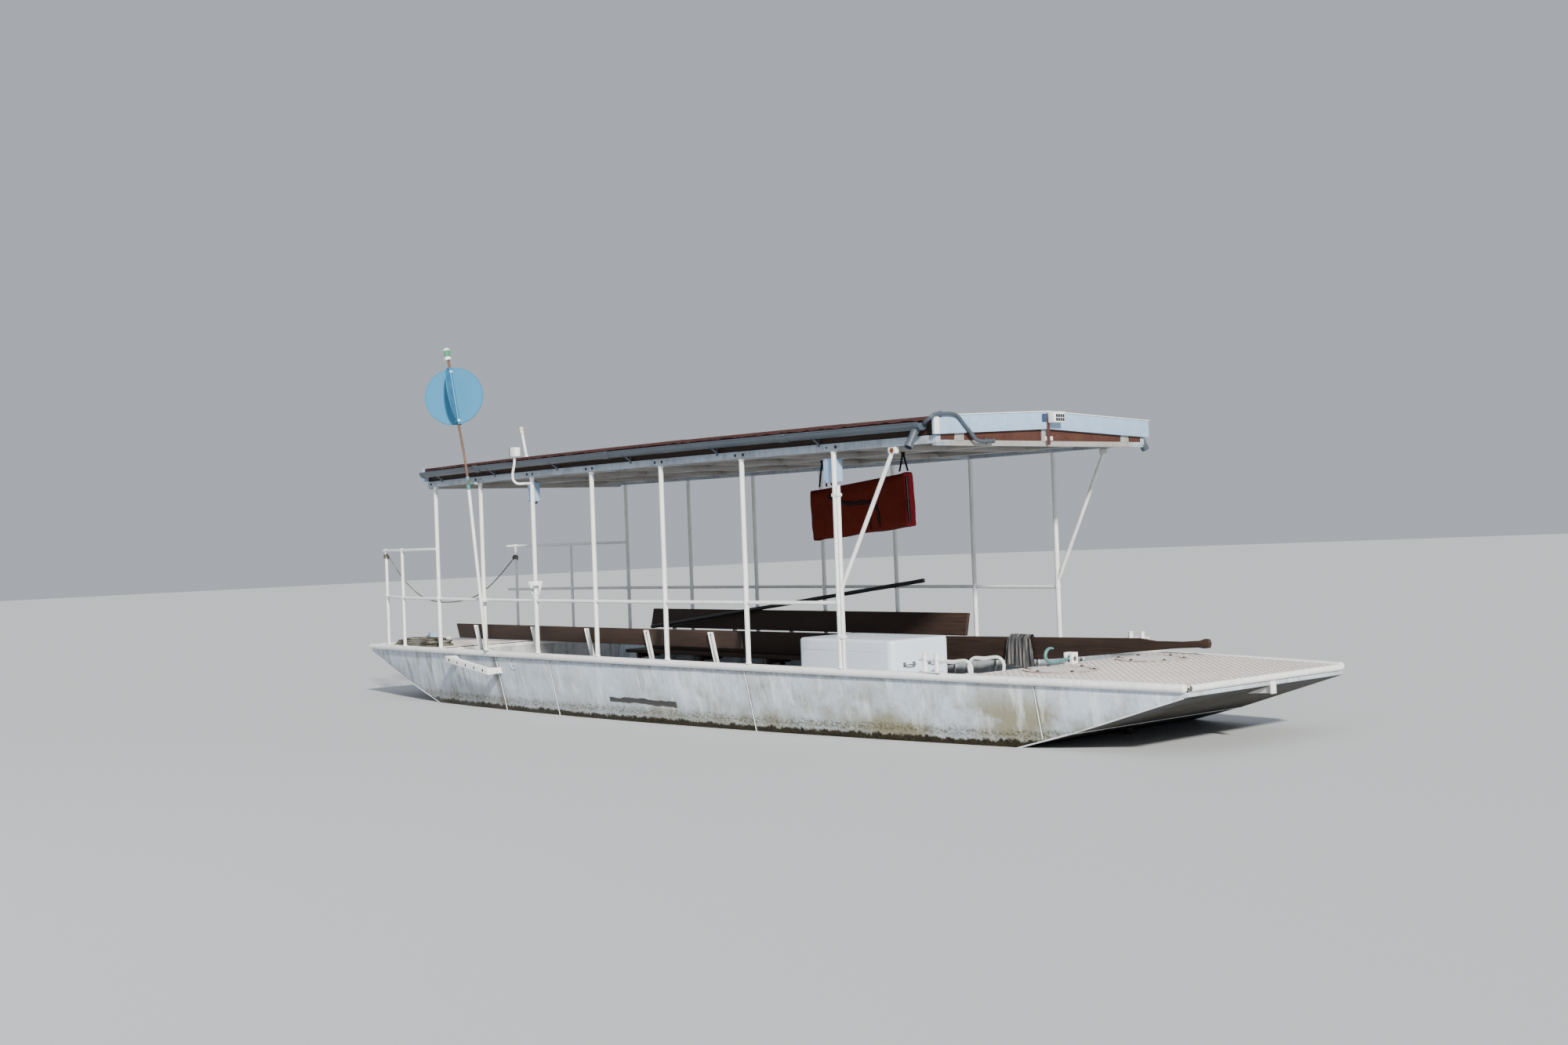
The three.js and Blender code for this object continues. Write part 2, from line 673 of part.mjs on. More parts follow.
const RUDDER = { x: 4480, blade: [4400, 4680], z: [35, 312], half: 8, stock: 16, top: 380 };
const rudderStock = rod([RUDDER.x, 0, RUDDER.z[0] + 60], [RUDDER.x, 0, RUDDER.top], RUDDER.stock, 16);
const rudderBlade = box(RUDDER.blade, [-RUDDER.half, RUDDER.half], RUDDER.z);
add("rudder", "steel", union(rudderBlade, rudderStock));
const TRUNK = { r: 30, clear: 2, z: [325, 420] };
const trunkAt = (r, z0, z1) => rod([RUDDER.x, 0, z0], [RUDDER.x, 0, z1], r, 16);
add(
  "rudder_trunk",
  "hull",
  cut(
    trunkAt(TRUNK.r, ...TRUNK.z),
    trunkAt(RUDDER.stock + TRUNK.clear, TRUNK.z[0] - 10, TRUNK.z[1] + 10),
    hullGrown,
  ),
);

// Deck fittings
const BOLLARD = { x: 3634, r: 19, spread: 61, top: 1030, bar: [-126, 130], barR: 10, barZ: 977 };
for (const [side, s] of SIDES) {
  const y = s * halfWidth(BOLLARD.x);
  const foot = gunwaleTop(BOLLARD.x);
  const base = box([BOLLARD.x - 110, BOLLARD.x + 110], [y - 28, y + 28], [foot, foot + 8]);
  const stubs = [-1, 1].map((e) => {
    const x = BOLLARD.x + e * BOLLARD.spread;
    return rod([x, y, foot + 2], [x, y, BOLLARD.top], BOLLARD.r, 12);
  });
  const [from, to] = BOLLARD.bar.map((dx) => [BOLLARD.x + dx, y, BOLLARD.barZ]);
  add("bollard_" + side, "white", union(base, ...stubs, rod(from, to, BOLLARD.barR, 8)));
}

const FAIRLEAD = { x: [-5305, -5235], y: [-465, -395], high: 115, hole: 17, holeUp: 70 };
const bowDeckTop = (x) => DECK_INNER_TOP - DECK_SLOPE * (BOW_DECK_END - x);
const fairleadFoot = bowDeckTop(FAIRLEAD.x[1]) + GAP;
const [leadX, leadZ] = [-5270, fairleadFoot + FAIRLEAD.holeUp];
add(
  "fairlead",
  "white",
  cut(
    box(FAIRLEAD.x, FAIRLEAD.y, [fairleadFoot, fairleadFoot + FAIRLEAD.high]),
    rod([leadX, -600, leadZ], [leadX, -300, leadZ], FAIRLEAD.hole, 16),
  ),
);

// Step along the port side, a bar held off the hull by two legs
const STEP = { x: [-3280, -2320], near: 70, far: 130, half: 30, z: [785, 690], legHalf: 30 };
const stepZ = (x) => STEP.z[0] + ((STEP.z[1] - STEP.z[0]) * (x - STEP.x[0])) / (STEP.x[1] - STEP.x[0]);
const stepBar = loft(range(...STEP.x, 3), (x) =>
  rectangle(
    -(halfWidth(x) + STEP.far),
    -(halfWidth(x) + STEP.near),
    stepZ(x) - STEP.half,
    stepZ(x) + STEP.half,
  ),
);
const stepLegs = STEP.x.map((x, i) => {
  const from = i ? x - 2 * STEP.legHalf : x;
  const z = stepZ(from + STEP.legHalf);
  return box(
    [from, from + 2 * STEP.legHalf],
    [-(halfWidth(x) + STEP.near + 20), -1100],
    [z - STEP.half, z + STEP.half],
  );
});
add("side_step", "white", cut(union(stepBar, ...stepLegs), hullGrown));

// Knee under the stern end: an upright plate with a gusset on the raked plate
const KNEE = { x: [HULL_END + 1, HULL_END + 13], y: [0, 60], z: [708, 798], gusset: 8 };
const gusset = slab(
  [
    [5540, 700],
    [KNEE.x[0] + 4, KNEE.z[0] + 4],
    [KNEE.x[0] + 4, KNEE.z[1] - 4],
  ],
  "y",
  30 - KNEE.gusset,
  30 + KNEE.gusset,
);
add("stern_knee", "white", cut(union(box(KNEE.x, KNEE.y, KNEE.z), gusset), hullGrown));

// Tow hook in its clevis at the inner edge of the stern deck
const PIN = { x: 4050, y: -125, z: 917, r: 8 };
const CLEVIS = { x: [4010, 4090], y: [-160, -85], z: [875, 965], slot: [4032, 4068] };
const clevisBlock = cut(
  box(CLEVIS.x, CLEVIS.y, CLEVIS.z),
  box(CLEVIS.slot, [CLEVIS.y[0] - 10, -98], [890, CLEVIS.z[1] + 10]),
);
const pin = rod([CLEVIS.x[0] + 2, PIN.y, PIN.z], [CLEVIS.x[1] - 2, PIN.y, PIN.z], PIN.r, 12);
add("hook_clevis", "white", union(clevisBlock, pin));

const HOOK = { r: 13, eye: 22, eyeHalf: 13 };
const hookLine = [
  // y, z of the shank and the open claw
  [-140, 917],
  [-200, 914],
  [-280, 906],
  [-345, 902],
  [-395, 915],
  [-424, 950],
  [-412, 990],
  [-372, 1012],
  [-330, 1008],
];
const shank = sweep(hookLine.map(([y, z]) => [PIN.x, y, z]), HOOK.r, 24);
const eyeEnds = [PIN.x - HOOK.eyeHalf, PIN.x + HOOK.eyeHalf].map((x) => [x, PIN.y, PIN.z]);
const pinHole = rod([PIN.x - 30, PIN.y, PIN.z], [PIN.x + 30, PIN.y, PIN.z], PIN.r + 0.6, 12);
add("tow_hook", "teal", cut(union(shank, rod(...eyeEnds, HOOK.eye, 20)), pinHole));

// Signal mast outside the port gutter, clamped to the rail and stayed to the second post
const MAST = { foot: [-2483, -1390, 892], knee: [-2497, -1530, 2654], r: 17 };
const STICK = { top: [-2798, -1530, 3860], r: 13 };
const SIGN = { r: 300, half: 4, socket: 22, turn: 0.744, from: 555, to: 1157 };
const LAMP = { r: 36, high: 135 };
const CLAMP = { x: [-2510, -2470], y: [-1435, -1365], z: [1385, 1425] };
const MAST_FOOT = { x: [-2508, -2458], y: [-1408, -1345], thick: 10 };
const STAY = { from: [-2497, -1525, 2588], to: [-2562.5, -1363.5, 2588], r: 11 };
const plateFoot = gunwaleTop(MAST_FOOT.x[1]);
add(
  "signal_mast",
  "white",
  union(
    rod(MAST.foot, MAST.knee, MAST.r),
    rod([-2480, -1530, 2586], STICK.top, STICK.r),
    rod(STAY.from, STAY.to, STAY.r),
    box(CLAMP.x, CLAMP.y, CLAMP.z),
    box(MAST_FOOT.x, MAST_FOOT.y, [plateFoot, plateFoot + MAST_FOOT.thick]),
  ),
);
const stickAxis = vector(STICK.top).sub(vector(MAST.knee)).normalize();
const onStick = (along) => vector(MAST.knee).addScaledVector(stickAxis, along).toArray();
const signTurn = new THREE.Quaternion().setFromUnitVectors(UP, stickAxis);
const signDiscs = [SIGN.turn, SIGN.turn + Math.PI / 2].map((turn) =>
  new THREE.CylinderGeometry(SIGN.r, SIGN.r, 2 * SIGN.half, 32)
    .rotateZ(Math.PI / 2)
    .rotateY(turn)
    .applyQuaternion(signTurn)
    .translate(...onStick((SIGN.from + SIGN.to) / 2)),
);
const socket = rod(onStick(SIGN.from), onStick(SIGN.to), SIGN.socket);
const stickHole = rod(onStick(SIGN.from - 100), onStick(SIGN.to + 100), STICK.r + GAP);
add("signal_discs", "sign", cut(union(...signDiscs, socket), stickHole));
const stickTop = vector(STICK.top).distanceTo(vector(MAST.knee)) + GAP;
add("signal_lamp", "lamp", rod(onStick(stickTop), onStick(stickTop + LAMP.high), LAMP.r, 16));

// Work lamp on a bent arm from the third port post, and two junction boxes
const LAMP_ARM = [
  [-1510, -1423.4, 2542],
  [-1516, -1480, 2542],
  [-1546, -1548, 2544],
  [-1570, -1574, 2578],
  [-1576, -1576, 2640],
  [-1550, -1575, 2715],
  [-1530, -1574, 2810],
];
const lampBox = box([-1580, -1475], [-1605, -1545], [2802, 2888]);
add("work_lamp", "white", union(sweep(LAMP_ARM, 12, 24, 8), lampBox));

// Whip stub on the port edge of the roof: a foot plate, a leaning stick and its stepped head
const WHIP = { foot: [-1593, -1400, 2802], top: [-1659, -1400, 3043], r: 13.5, plate: 32 };
const WHIP_HEAD = [
  // from, to along the stick past its top, radius
  [-10, 34, 20],
  [32, 40, 29],
  [38, 58, 21],
];
const whipAxis = vector(WHIP.top).sub(vector(WHIP.foot)).normalize();
const onWhip = (past) => vector(WHIP.top).addScaledVector(whipAxis, past).toArray();
const roofAtWhip = sheetTop(WHIP.foot[0], Math.abs(WHIP.foot[1]) - WHIP.plate) + 2 * GAP;
add(
  "whip_stub",
  "white",
  union(
    rod(WHIP.foot, WHIP.top, WHIP.r, 12),
    ...WHIP_HEAD.map(([from, to, r]) => rod(onWhip(from), onWhip(to), r, 16)),
    box(
      [WHIP.foot[0] - WHIP.plate, WHIP.foot[0] + WHIP.plate],
      [WHIP.foot[1] - WHIP.plate, WHIP.foot[1] + WHIP.plate],
      [roofAtWhip, roofAtWhip + 8],
    ),
  ),
);

// Holder on the third port post: a hoop on two bent flat bars from a collar
const HOLDER = { x: -1510, hoop: [73, 78], hoopZ: [1552, 1592], collar: 27, collarZ: [1423, 1452], bar: 14 };
const HOLDER_BAR = [
  // x and z from the post's centre line: outer edge down, then inner edge up
  [78, 1590],
  [80, 1545],
  [66, 1497],
  [27, 1441],
  [24, 1450],
  [60, 1500],
  [74, 1546],
  [73, 1590],
];
const holderY = -halfWidth(HOLDER.x);
const holderDisc = (r, [z0, z1], sides = 24) =>
  rod([HOLDER.x, holderY, z0], [HOLDER.x, holderY, z1], r, sides);
const holderTall = [HOLDER.collarZ[0] - 10, HOLDER.hoopZ[1] + 10];
const hoop = cut(holderDisc(HOLDER.hoop[1], HOLDER.hoopZ), holderDisc(HOLDER.hoop[0], holderTall));
const holderBars = [-1, 1].map((e) => {
  const bar = HOLDER_BAR.map(([dx, z]) => [HOLDER.x + e * dx, z]);
  return slab(e > 0 ? bar : bar.toReversed(), "y", holderY - HOLDER.bar, holderY + HOLDER.bar);
});
const holderBody = union(hoop, ...holderBars, holderDisc(HOLDER.collar, HOLDER.collarZ));
add("ring_holder", "white", cut(holderBody, holderDisc(POST_R + GAP, holderTall, 10)));

const BOXES = [
  // name, x, y, z
  ["junction_box_stern", [2580, 2722], [-1307, -1225], [2356, 2546]],
  ["junction_box_bow", [-1620, -1515], [-1380, -1310], [2366, 2556]],
];
for (const [name, x, y, z] of BOXES) add(name, "blue", box(x, y, z));

// Padded case hung on two straps under the roof
const PAD = { long: 1600, thick: 130, high: 500, centre: [1730, -100, 2166], yaw: -0.188, pitch: -0.0625 };
const pad = add("hanging_pad", "red", new THREE.BoxGeometry(PAD.long, PAD.thick, PAD.high));
pad.position.set(...PAD.centre);
pad.rotation.set(0, PAD.pitch, PAD.yaw, "ZYX");
const PAD_STRAPS = [
  // name, x, y, foot
  ["pad_strap_bow", 1150, -10, 2388],
  ["pad_strap_stern", 2400, -225, 2467],
];
for (const [name, x, y, foot] of PAD_STRAPS) {
  add(name, "black", box([x - 20, x + 20], [y - 3, y + 3], [foot, PURLIN.low - GAP]));
}

// Towel over the stowed board
const TOWEL = { x: [2310, 2710], outer: [1010, 1085], inner: [1026, 1069], low: 700, top: 992 };
const towelInside = boardTop(TOWEL.x[1]) + 4;
const towelOutline = () => [
  [TOWEL.outer[0], TOWEL.low],
  [TOWEL.inner[0], TOWEL.low],
  [TOWEL.inner[0], towelInside],
  [TOWEL.inner[1], towelInside],
  [TOWEL.inner[1], TOWEL.low + 60],
  [TOWEL.outer[1], TOWEL.low + 60],
  [TOWEL.outer[1], TOWEL.top],
  [TOWEL.outer[0], TOWEL.top],
];
add("towel", "cloth", loft(TOWEL.x, towelOutline));

// Rope across the boarding gate
const GATE_ROPE = [
  // y, z at the gate posts' x
  [-855, 1868],
  [-820, 1822],
  [-760, 1730],
  [-695, 1630],
  [-560, 1480],
  [-416, 1372],
  [-250, 1312],
  [-100, 1296],
  [60, 1298],
  [218, 1322],
  [360, 1380],
  [500, 1466],
  [669, 1610],
  [800, 1738],
  [855, 1796],
];
add("gate_rope", "rope", sweep(GATE_ROPE.map(([y, z]) => [-5470, y, z]), 6, 40, 8));

// Mooring rope, 20 mm thick: from the fairlead down to the bow deck, where it lies in a long coil
const HEAP = { long: 1290, half: 168, high: 86, round: 167, end: [-5250, -815], yaw: -0.135, lift: 1.2 };
const heapBlock = roundedBlock([0, HEAP.long], HEAP.half, [0, HEAP.high], HEAP.round);
const heapTurn = new THREE.Euler(0, -Math.atan(DECK_SLOPE), HEAP.yaw, "ZYX");
const heapFoot = [...HEAP.end, bowDeckTop(HEAP.end[0]) + HEAP.lift];
const heap = add("rope_heap", "rope", heapBlock);
heap.position.set(...heapFoot);
heap.rotation.copy(heapTurn);

const MOORING_R = 10;
const MOORING_ROPE = [
  // x, y, z
  [-5270, -464.7 - GAP, 918.6],
  [-5270, -480, 918.2],
  [-5269.5, -496, 915.6],
  [-5268.5, -511, 909.8],
  [-5267, -525, 901],
  [-5265, -538, 890.4],
  [-5262.6, -551, 879.6],
  [-5260, -566, 869.6],
  [-5257.4, -583, 862.2],
  [-5254.6, -602, 858.6],
  [-5251.4, -625, 858.0],
  [-5247.6, -650, 858.0],
  [-5243.4, -676, 858.0],
  [-5239.2, -702, 858.1],
  [-5235.4, -728, 858.1],
  [-5232.4, -754, 858.1],
  [-5231, -780, 858.1],
];
const heapGrown = roundedBlock([0, HEAP.long], HEAP.half + GAP, [0, HEAP.high], HEAP.round + GAP);
heapGrown.applyMatrix4(new THREE.Matrix4().makeRotationFromEuler(heapTurn));
heapGrown.translate(...heapFoot);
add("mooring_rope", "rope", cut(sweep(MOORING_ROPE, MOORING_R, 30, 12), heapGrown));

export default ferry;
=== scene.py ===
"""A small passenger ferry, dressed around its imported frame.

Metres, +X towards the stern, +Y to starboard, +Z up from the flat bottom of the hull.
"""

import json
import random
from math import atan, cos, exp, hypot, pi, radians, sin, sqrt

import bpy
from bpy.props import FloatProperty, FloatVectorProperty, PointerProperty
from bpy.types import Operator, Panel, PropertyGroup
from mathutils import Euler, Matrix, Vector

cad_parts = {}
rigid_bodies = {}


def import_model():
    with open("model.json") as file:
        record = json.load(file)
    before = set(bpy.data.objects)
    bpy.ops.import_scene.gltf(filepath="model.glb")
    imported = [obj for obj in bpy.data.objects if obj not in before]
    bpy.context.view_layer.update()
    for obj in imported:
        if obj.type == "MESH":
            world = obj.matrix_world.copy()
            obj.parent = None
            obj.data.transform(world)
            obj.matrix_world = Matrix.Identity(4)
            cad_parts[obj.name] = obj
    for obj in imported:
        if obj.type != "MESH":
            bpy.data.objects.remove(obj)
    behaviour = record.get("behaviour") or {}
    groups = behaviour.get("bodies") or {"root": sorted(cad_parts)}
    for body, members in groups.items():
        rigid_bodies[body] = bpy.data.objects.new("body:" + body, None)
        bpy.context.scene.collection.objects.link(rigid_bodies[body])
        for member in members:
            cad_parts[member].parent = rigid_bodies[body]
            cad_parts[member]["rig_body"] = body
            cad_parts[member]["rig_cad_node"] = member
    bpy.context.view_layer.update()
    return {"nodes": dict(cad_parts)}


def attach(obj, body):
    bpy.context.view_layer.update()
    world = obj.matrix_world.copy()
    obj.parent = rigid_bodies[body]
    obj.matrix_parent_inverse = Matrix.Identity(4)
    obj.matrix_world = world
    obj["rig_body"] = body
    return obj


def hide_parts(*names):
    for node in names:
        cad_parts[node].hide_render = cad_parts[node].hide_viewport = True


bl_info = {"name": "Passenger Ferry", "version": (1, 0, 0), "blender": (4, 5, 0),
    "location": "3D View > Sidebar > Ferry", "description": "Dresses a small flat-bottomed passenger ferry",
    "category": "Add Mesh"}

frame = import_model()

# Driving dimensions of the hull
HALF_LENGTH = 5.75
HALF_BEAM = 1.434
PLAN_TAPER = 0.466
SHEER = 0.867
SHEER_DROP = 0.04
FLARE = 0.22
GUNWALE_R = 0.03
SIDES = (("port", -1), ("starboard", 1))
UP = (0, 0, 1)

PAD_CENTRE = Vector((1.73, -0.1, 2.166))
PAD_TURN = Euler((0, -0.0625, -0.188), "XYZ")
WELD_X = (1.6, -1.345, 4.53, -2.39)
POST_X = (-3.64, -2.57, -1.51, -0.46, 0.6, 1.67, 2.73)


def half_width(x):
    """Half beam at the gunwale."""
    return HALF_BEAM - PLAN_TAPER * (x / HALF_LENGTH) ** 2


def sheer(x):
    """Height of the gunwale tube's centre."""
    return SHEER - SHEER_DROP * (x / HALF_LENGTH) ** 2


def side_plate(x, z):
    """Half width of the flared side plate's outer face at a height."""
    return half_width(x) - FLARE * (sheer(x) - z)


# Properties


def colour_property(name, description, default):
    return FloatVectorProperty(name=name, description=description, subtype="COLOR", default=default)


def size_property(name, description, default, unit):
    return FloatProperty(name=name, description=description, default=default, unit=unit)


class FerryColours(PropertyGroup):
    """Paints and cloths, as linear colours."""

    hull: colour_property("Hull", "Side and end plates", (0.53, 0.61, 0.72))
    white: colour_property("White", "Posts, rails and fittings", (0.8, 0.82, 0.83))
    deck: colour_property("Deck", "Checker plate of the decks", (0.74, 0.7, 0.68))
    wood: colour_property("Wood", "Benches and boards", (0.024, 0.014, 0.01))
    light_blue: colour_property("Light blue", "Fascia boards and boxes", (0.31, 0.46, 0.66))
    sign: colour_property("Sign", "Crossed signal discs", (0.009, 0.17, 0.33))
    red: colour_property("Red cloth", "Hanging padded case", (0.1, 0.0085, 0.003))
    teal: colour_property("Teal", "Tow hook and tape", (0.075, 0.22, 0.21))


class FerrySizes(PropertyGroup):
    """Sizes that a user would change."""

    waterline: size_property("Waterline", "Height of the water amidships", 0.303, "LENGTH")
    trim: size_property("Trim", "How far the stern is down", radians(0.55), "ROTATION")
    gate_rope: size_property("Gate rope", "Thickness of the rope across the gate", 0.012, "LENGTH")
    mooring_rope: size_property("Mooring rope", "Thickness of the mooring rope", 0.02, "LENGTH")
    bearing: size_property("Bearing", "Direction of view", radians(48.93), "ROTATION")
    lens: size_property("Lens", "Focal length", 39.6, "CAMERA")


def colours():
    return bpy.context.scene.ferry_colours


def sizes():
    return bpy.context.scene.ferry_sizes


# Node trees


class Graph:
    """Short ways to put nodes into one tree and join them, with a material's shader at hand."""

    def __init__(self, tree, material=None):
        self.tree = tree
        self.material = material
        self.shader = tree.nodes.get("Principled BSDF")

    def put(self, kind, inputs=None, **settings):
        item = self.tree.nodes.new(kind)
        for key, value in settings.items():
            setattr(item, key, value)
        for key, value in (inputs or {}).items():
            self.feed(item.inputs[key], value)
        return item

    def feed(self, socket, value):
        if isinstance(value, bpy.types.NodeSocket):
            self.tree.links.new(value, socket)
        else:
            socket.default_value = value

    def place(self, scale=(1, 1, 1), turn=(0, 0, 0)):
        here = self.put("ShaderNodeTexCoord").outputs["Object"]
        spread = self.put("ShaderNodeMapping", {"Vector": here, "Scale": scale, "Rotation": turn})
        return spread.outputs["Vector"]

    def axes(self, vector):
        return self.put("ShaderNodeSeparateXYZ", {"Vector": vector}).outputs

    def noise(self, where, scale, detail=4, rough=0.55):
        made = self.put("ShaderNodeTexNoise", {"Vector": where, "Scale": scale, "Detail": detail, "Roughness": rough})
        return made.outputs["Fac"]

    def between(self, value, low, high, to_low=0, to_high=1):
        made = self.put("ShaderNodeMapRange", {"Value": value, "From Min": low, "From Max": high, "To Min": to_low,
            "To Max": to_high})
        return made.outputs["Result"]

    def work(self, operation, a, b=0):
        return self.put("ShaderNodeMath", {0: a, 1: b}, operation=operation).outputs["Value"]

    def times(self, a, b):
        return self.work("MULTIPLY", a, b)

    def plus(self, a, b):
        return self.work("ADD", a, b)

    def less(self, a, b):
        return self.work("SUBTRACT", a, b)

    def apart(self, a, b):
        """How far two values lie apart."""
        return self.work("ABSOLUTE", self.less(a, b))

    def patches(self, spread, scale, detail, rough, low, high):
        """Noise stretched over a place, cut to a soft-edged mask."""
        return self.between(self.noise(self.place(spread), scale, detail, rough), low, high)

    def blend(self, share, a, b):
        made = self.put("ShaderNodeMix", data_type="RGBA")
        self.feed(made.inputs[0], share)
        for socket, colour in ((made.inputs[6], a), (made.inputs[7], b)):
            self.feed(socket, colour if isinstance(colour, bpy.types.NodeSocket) else rgba(colour))
        return made.outputs[2]

    def coat(self, share, colour, most=1):
        """Lays a colour over the shader's present one, in full or up to a part."""
        socket = self.shader.inputs["Base Color"]
        share = self.times(share, most) if most < 1 else share
        self.feed(socket, self.blend(share, socket.links[0].from_socket, colour))

    def bump(self, onto, height, strength, distance):
        """Relief for a shader, or a coarser one under another relief."""
        made = self.put("ShaderNodeBump", {"Strength": strength, "Distance": distance, "Height": height})
        self.feed(onto.inputs["Normal"], made.outputs["Normal"])
        return made

    def surface(self, colour, roughness, height, strength, distance):
        """Gives the shader its colour, roughness and relief."""
        self.feed(self.shader.inputs["Base Color"], colour)
        self.feed(self.shader.inputs["Roughness"], roughness)
        self.relief = self.bump(self.shader, height, strength, distance)
        return self

    def constants(self, values):
        """Sets constant values on the shader's own sockets."""
        for key, value in values.items():
            self.shader.inputs[key].default_value = value


def rgba(colour):
    return (*tuple(colour)[:3], 1)


def new_group(name, inputs):
    """An empty node group that gives colour, roughness and height, with its inputs and outputs."""
    group = bpy.data.node_groups.new(name, "ShaderNodeTree")
    for label, default in inputs.items():
        value = isinstance(default, float)
        kind = "NodeSocketFloat" if value else "NodeSocketColor"
        socket = group.interface.new_socket(name=label, in_out="INPUT", socket_type=kind)
        socket.default_value = default if value else rgba(default)
    for label, kind in (("Colour", "Color"), ("Roughness", "Float"), ("Height", "Float")):
        group.interface.new_socket(name=label, in_out="OUTPUT", socket_type="NodeSocket" + kind)
    net = Graph(group)
    return net, net.put("NodeGroupInput").outputs, net.put("NodeGroupOutput").inputs


def weather_group():
    """Paint with stains, streaks that run down, rust spots and a fine orange-peel."""
    if "Weather" in bpy.data.node_groups:
        return bpy.data.node_groups["Weather"]
    net, given, out = new_group("Weather", {"Paint": (0.8, 0.8, 0.8), "Stain": (0.12, 0.1, 0.06),
        "Rust": (0.16, 0.055, 0.02), "Scale": 3.0, "Stains": 0.5, "Streaks": 0.5, "Rusting": 0.2})
    cloud = net.noise(net.place(), given["Scale"], 6, 0.62)
    fine = net.noise(net.place(), 140, 3)
    speck = net.noise(net.place(), 28, 5, 0.7)
    run = net.noise(net.place((9, 9, 0.55)), given["Scale"], 4, 0.6)
    stains = net.times(net.between(cloud, 0.48, 0.72), given["Stains"])
    streaks = net.times(net.between(run, 0.52, 0.78), given["Streaks"])
    dirt = net.work("MINIMUM", net.plus(stains, streaks), 1)
    worn = net.blend(dirt, given["Paint"], given["Stain"])
    toned = net.blend(net.between(speck, 0.35, 0.75, 0, 0.16), worn, (0.02, 0.02, 0.02))
    rust = net.times(net.between(speck, 0.66, 0.74), given["Rusting"])
    net.feed(out["Colour"], net.blend(rust, toned, given["Rust"]))
    net.feed(out["Roughness"], net.plus(net.between(cloud, 0.3, 0.8, 0.34, 0.6), net.times(dirt, 0.25)))
    net.feed(out["Height"], net.plus(net.times(fine, 0.35), net.times(speck, 0.8)))
    return net.tree


def grain_group():
    """Wood grain along X with darker veins, worn paler in patches."""
    if "Grain" in bpy.data.node_groups:
        return bpy.data.node_groups["Grain"]
    net, given, out = new_group("Grain", {"Wood": (0.05, 0.03, 0.02), "Pale": (0.2, 0.14, 0.1), "Wear": 0.4})
    veins = net.noise(net.place((1.2, 26, 26)), 3, 6, 0.6)
    wear = net.times(net.patches((1, 3, 3), 1.7, 4, 0.55, 0.42, 0.75), given["Wear"])
    lit = net.times(net.between(veins, 0.4, 0.75), 0.55)
    tone = net.blend(lit, given["Wood"], given["Pale"])
    net.feed(out["Colour"], net.blend(wear, tone, given["Pale"]))
    net.feed(out["Roughness"], net.between(veins, 0.3, 0.8, 0.55, 0.85))
    net.feed(out["Height"], veins)
    return net.tree


def new_material(name):
    material = bpy.data.materials.new(name)
    material.use_nodes = True
    return Graph(material.node_tree, material)


def painted(name, paint, scale=3, stains=0.3, streaks=0.2, rusting=0.1, stain=(0.16, 0.14, 0.09), bump=0.12):
    """A weathered paint finish."""
    net = new_material(name)
    layer = net.put("ShaderNodeGroup", {"Paint": rgba(paint), "Stain": rgba(stain), "Scale": scale, "Stains": stains,
        "Streaks": streaks, "Rusting": rusting}, node_tree=weather_group())
    return net.surface(*layer.outputs, bump, 0.004)


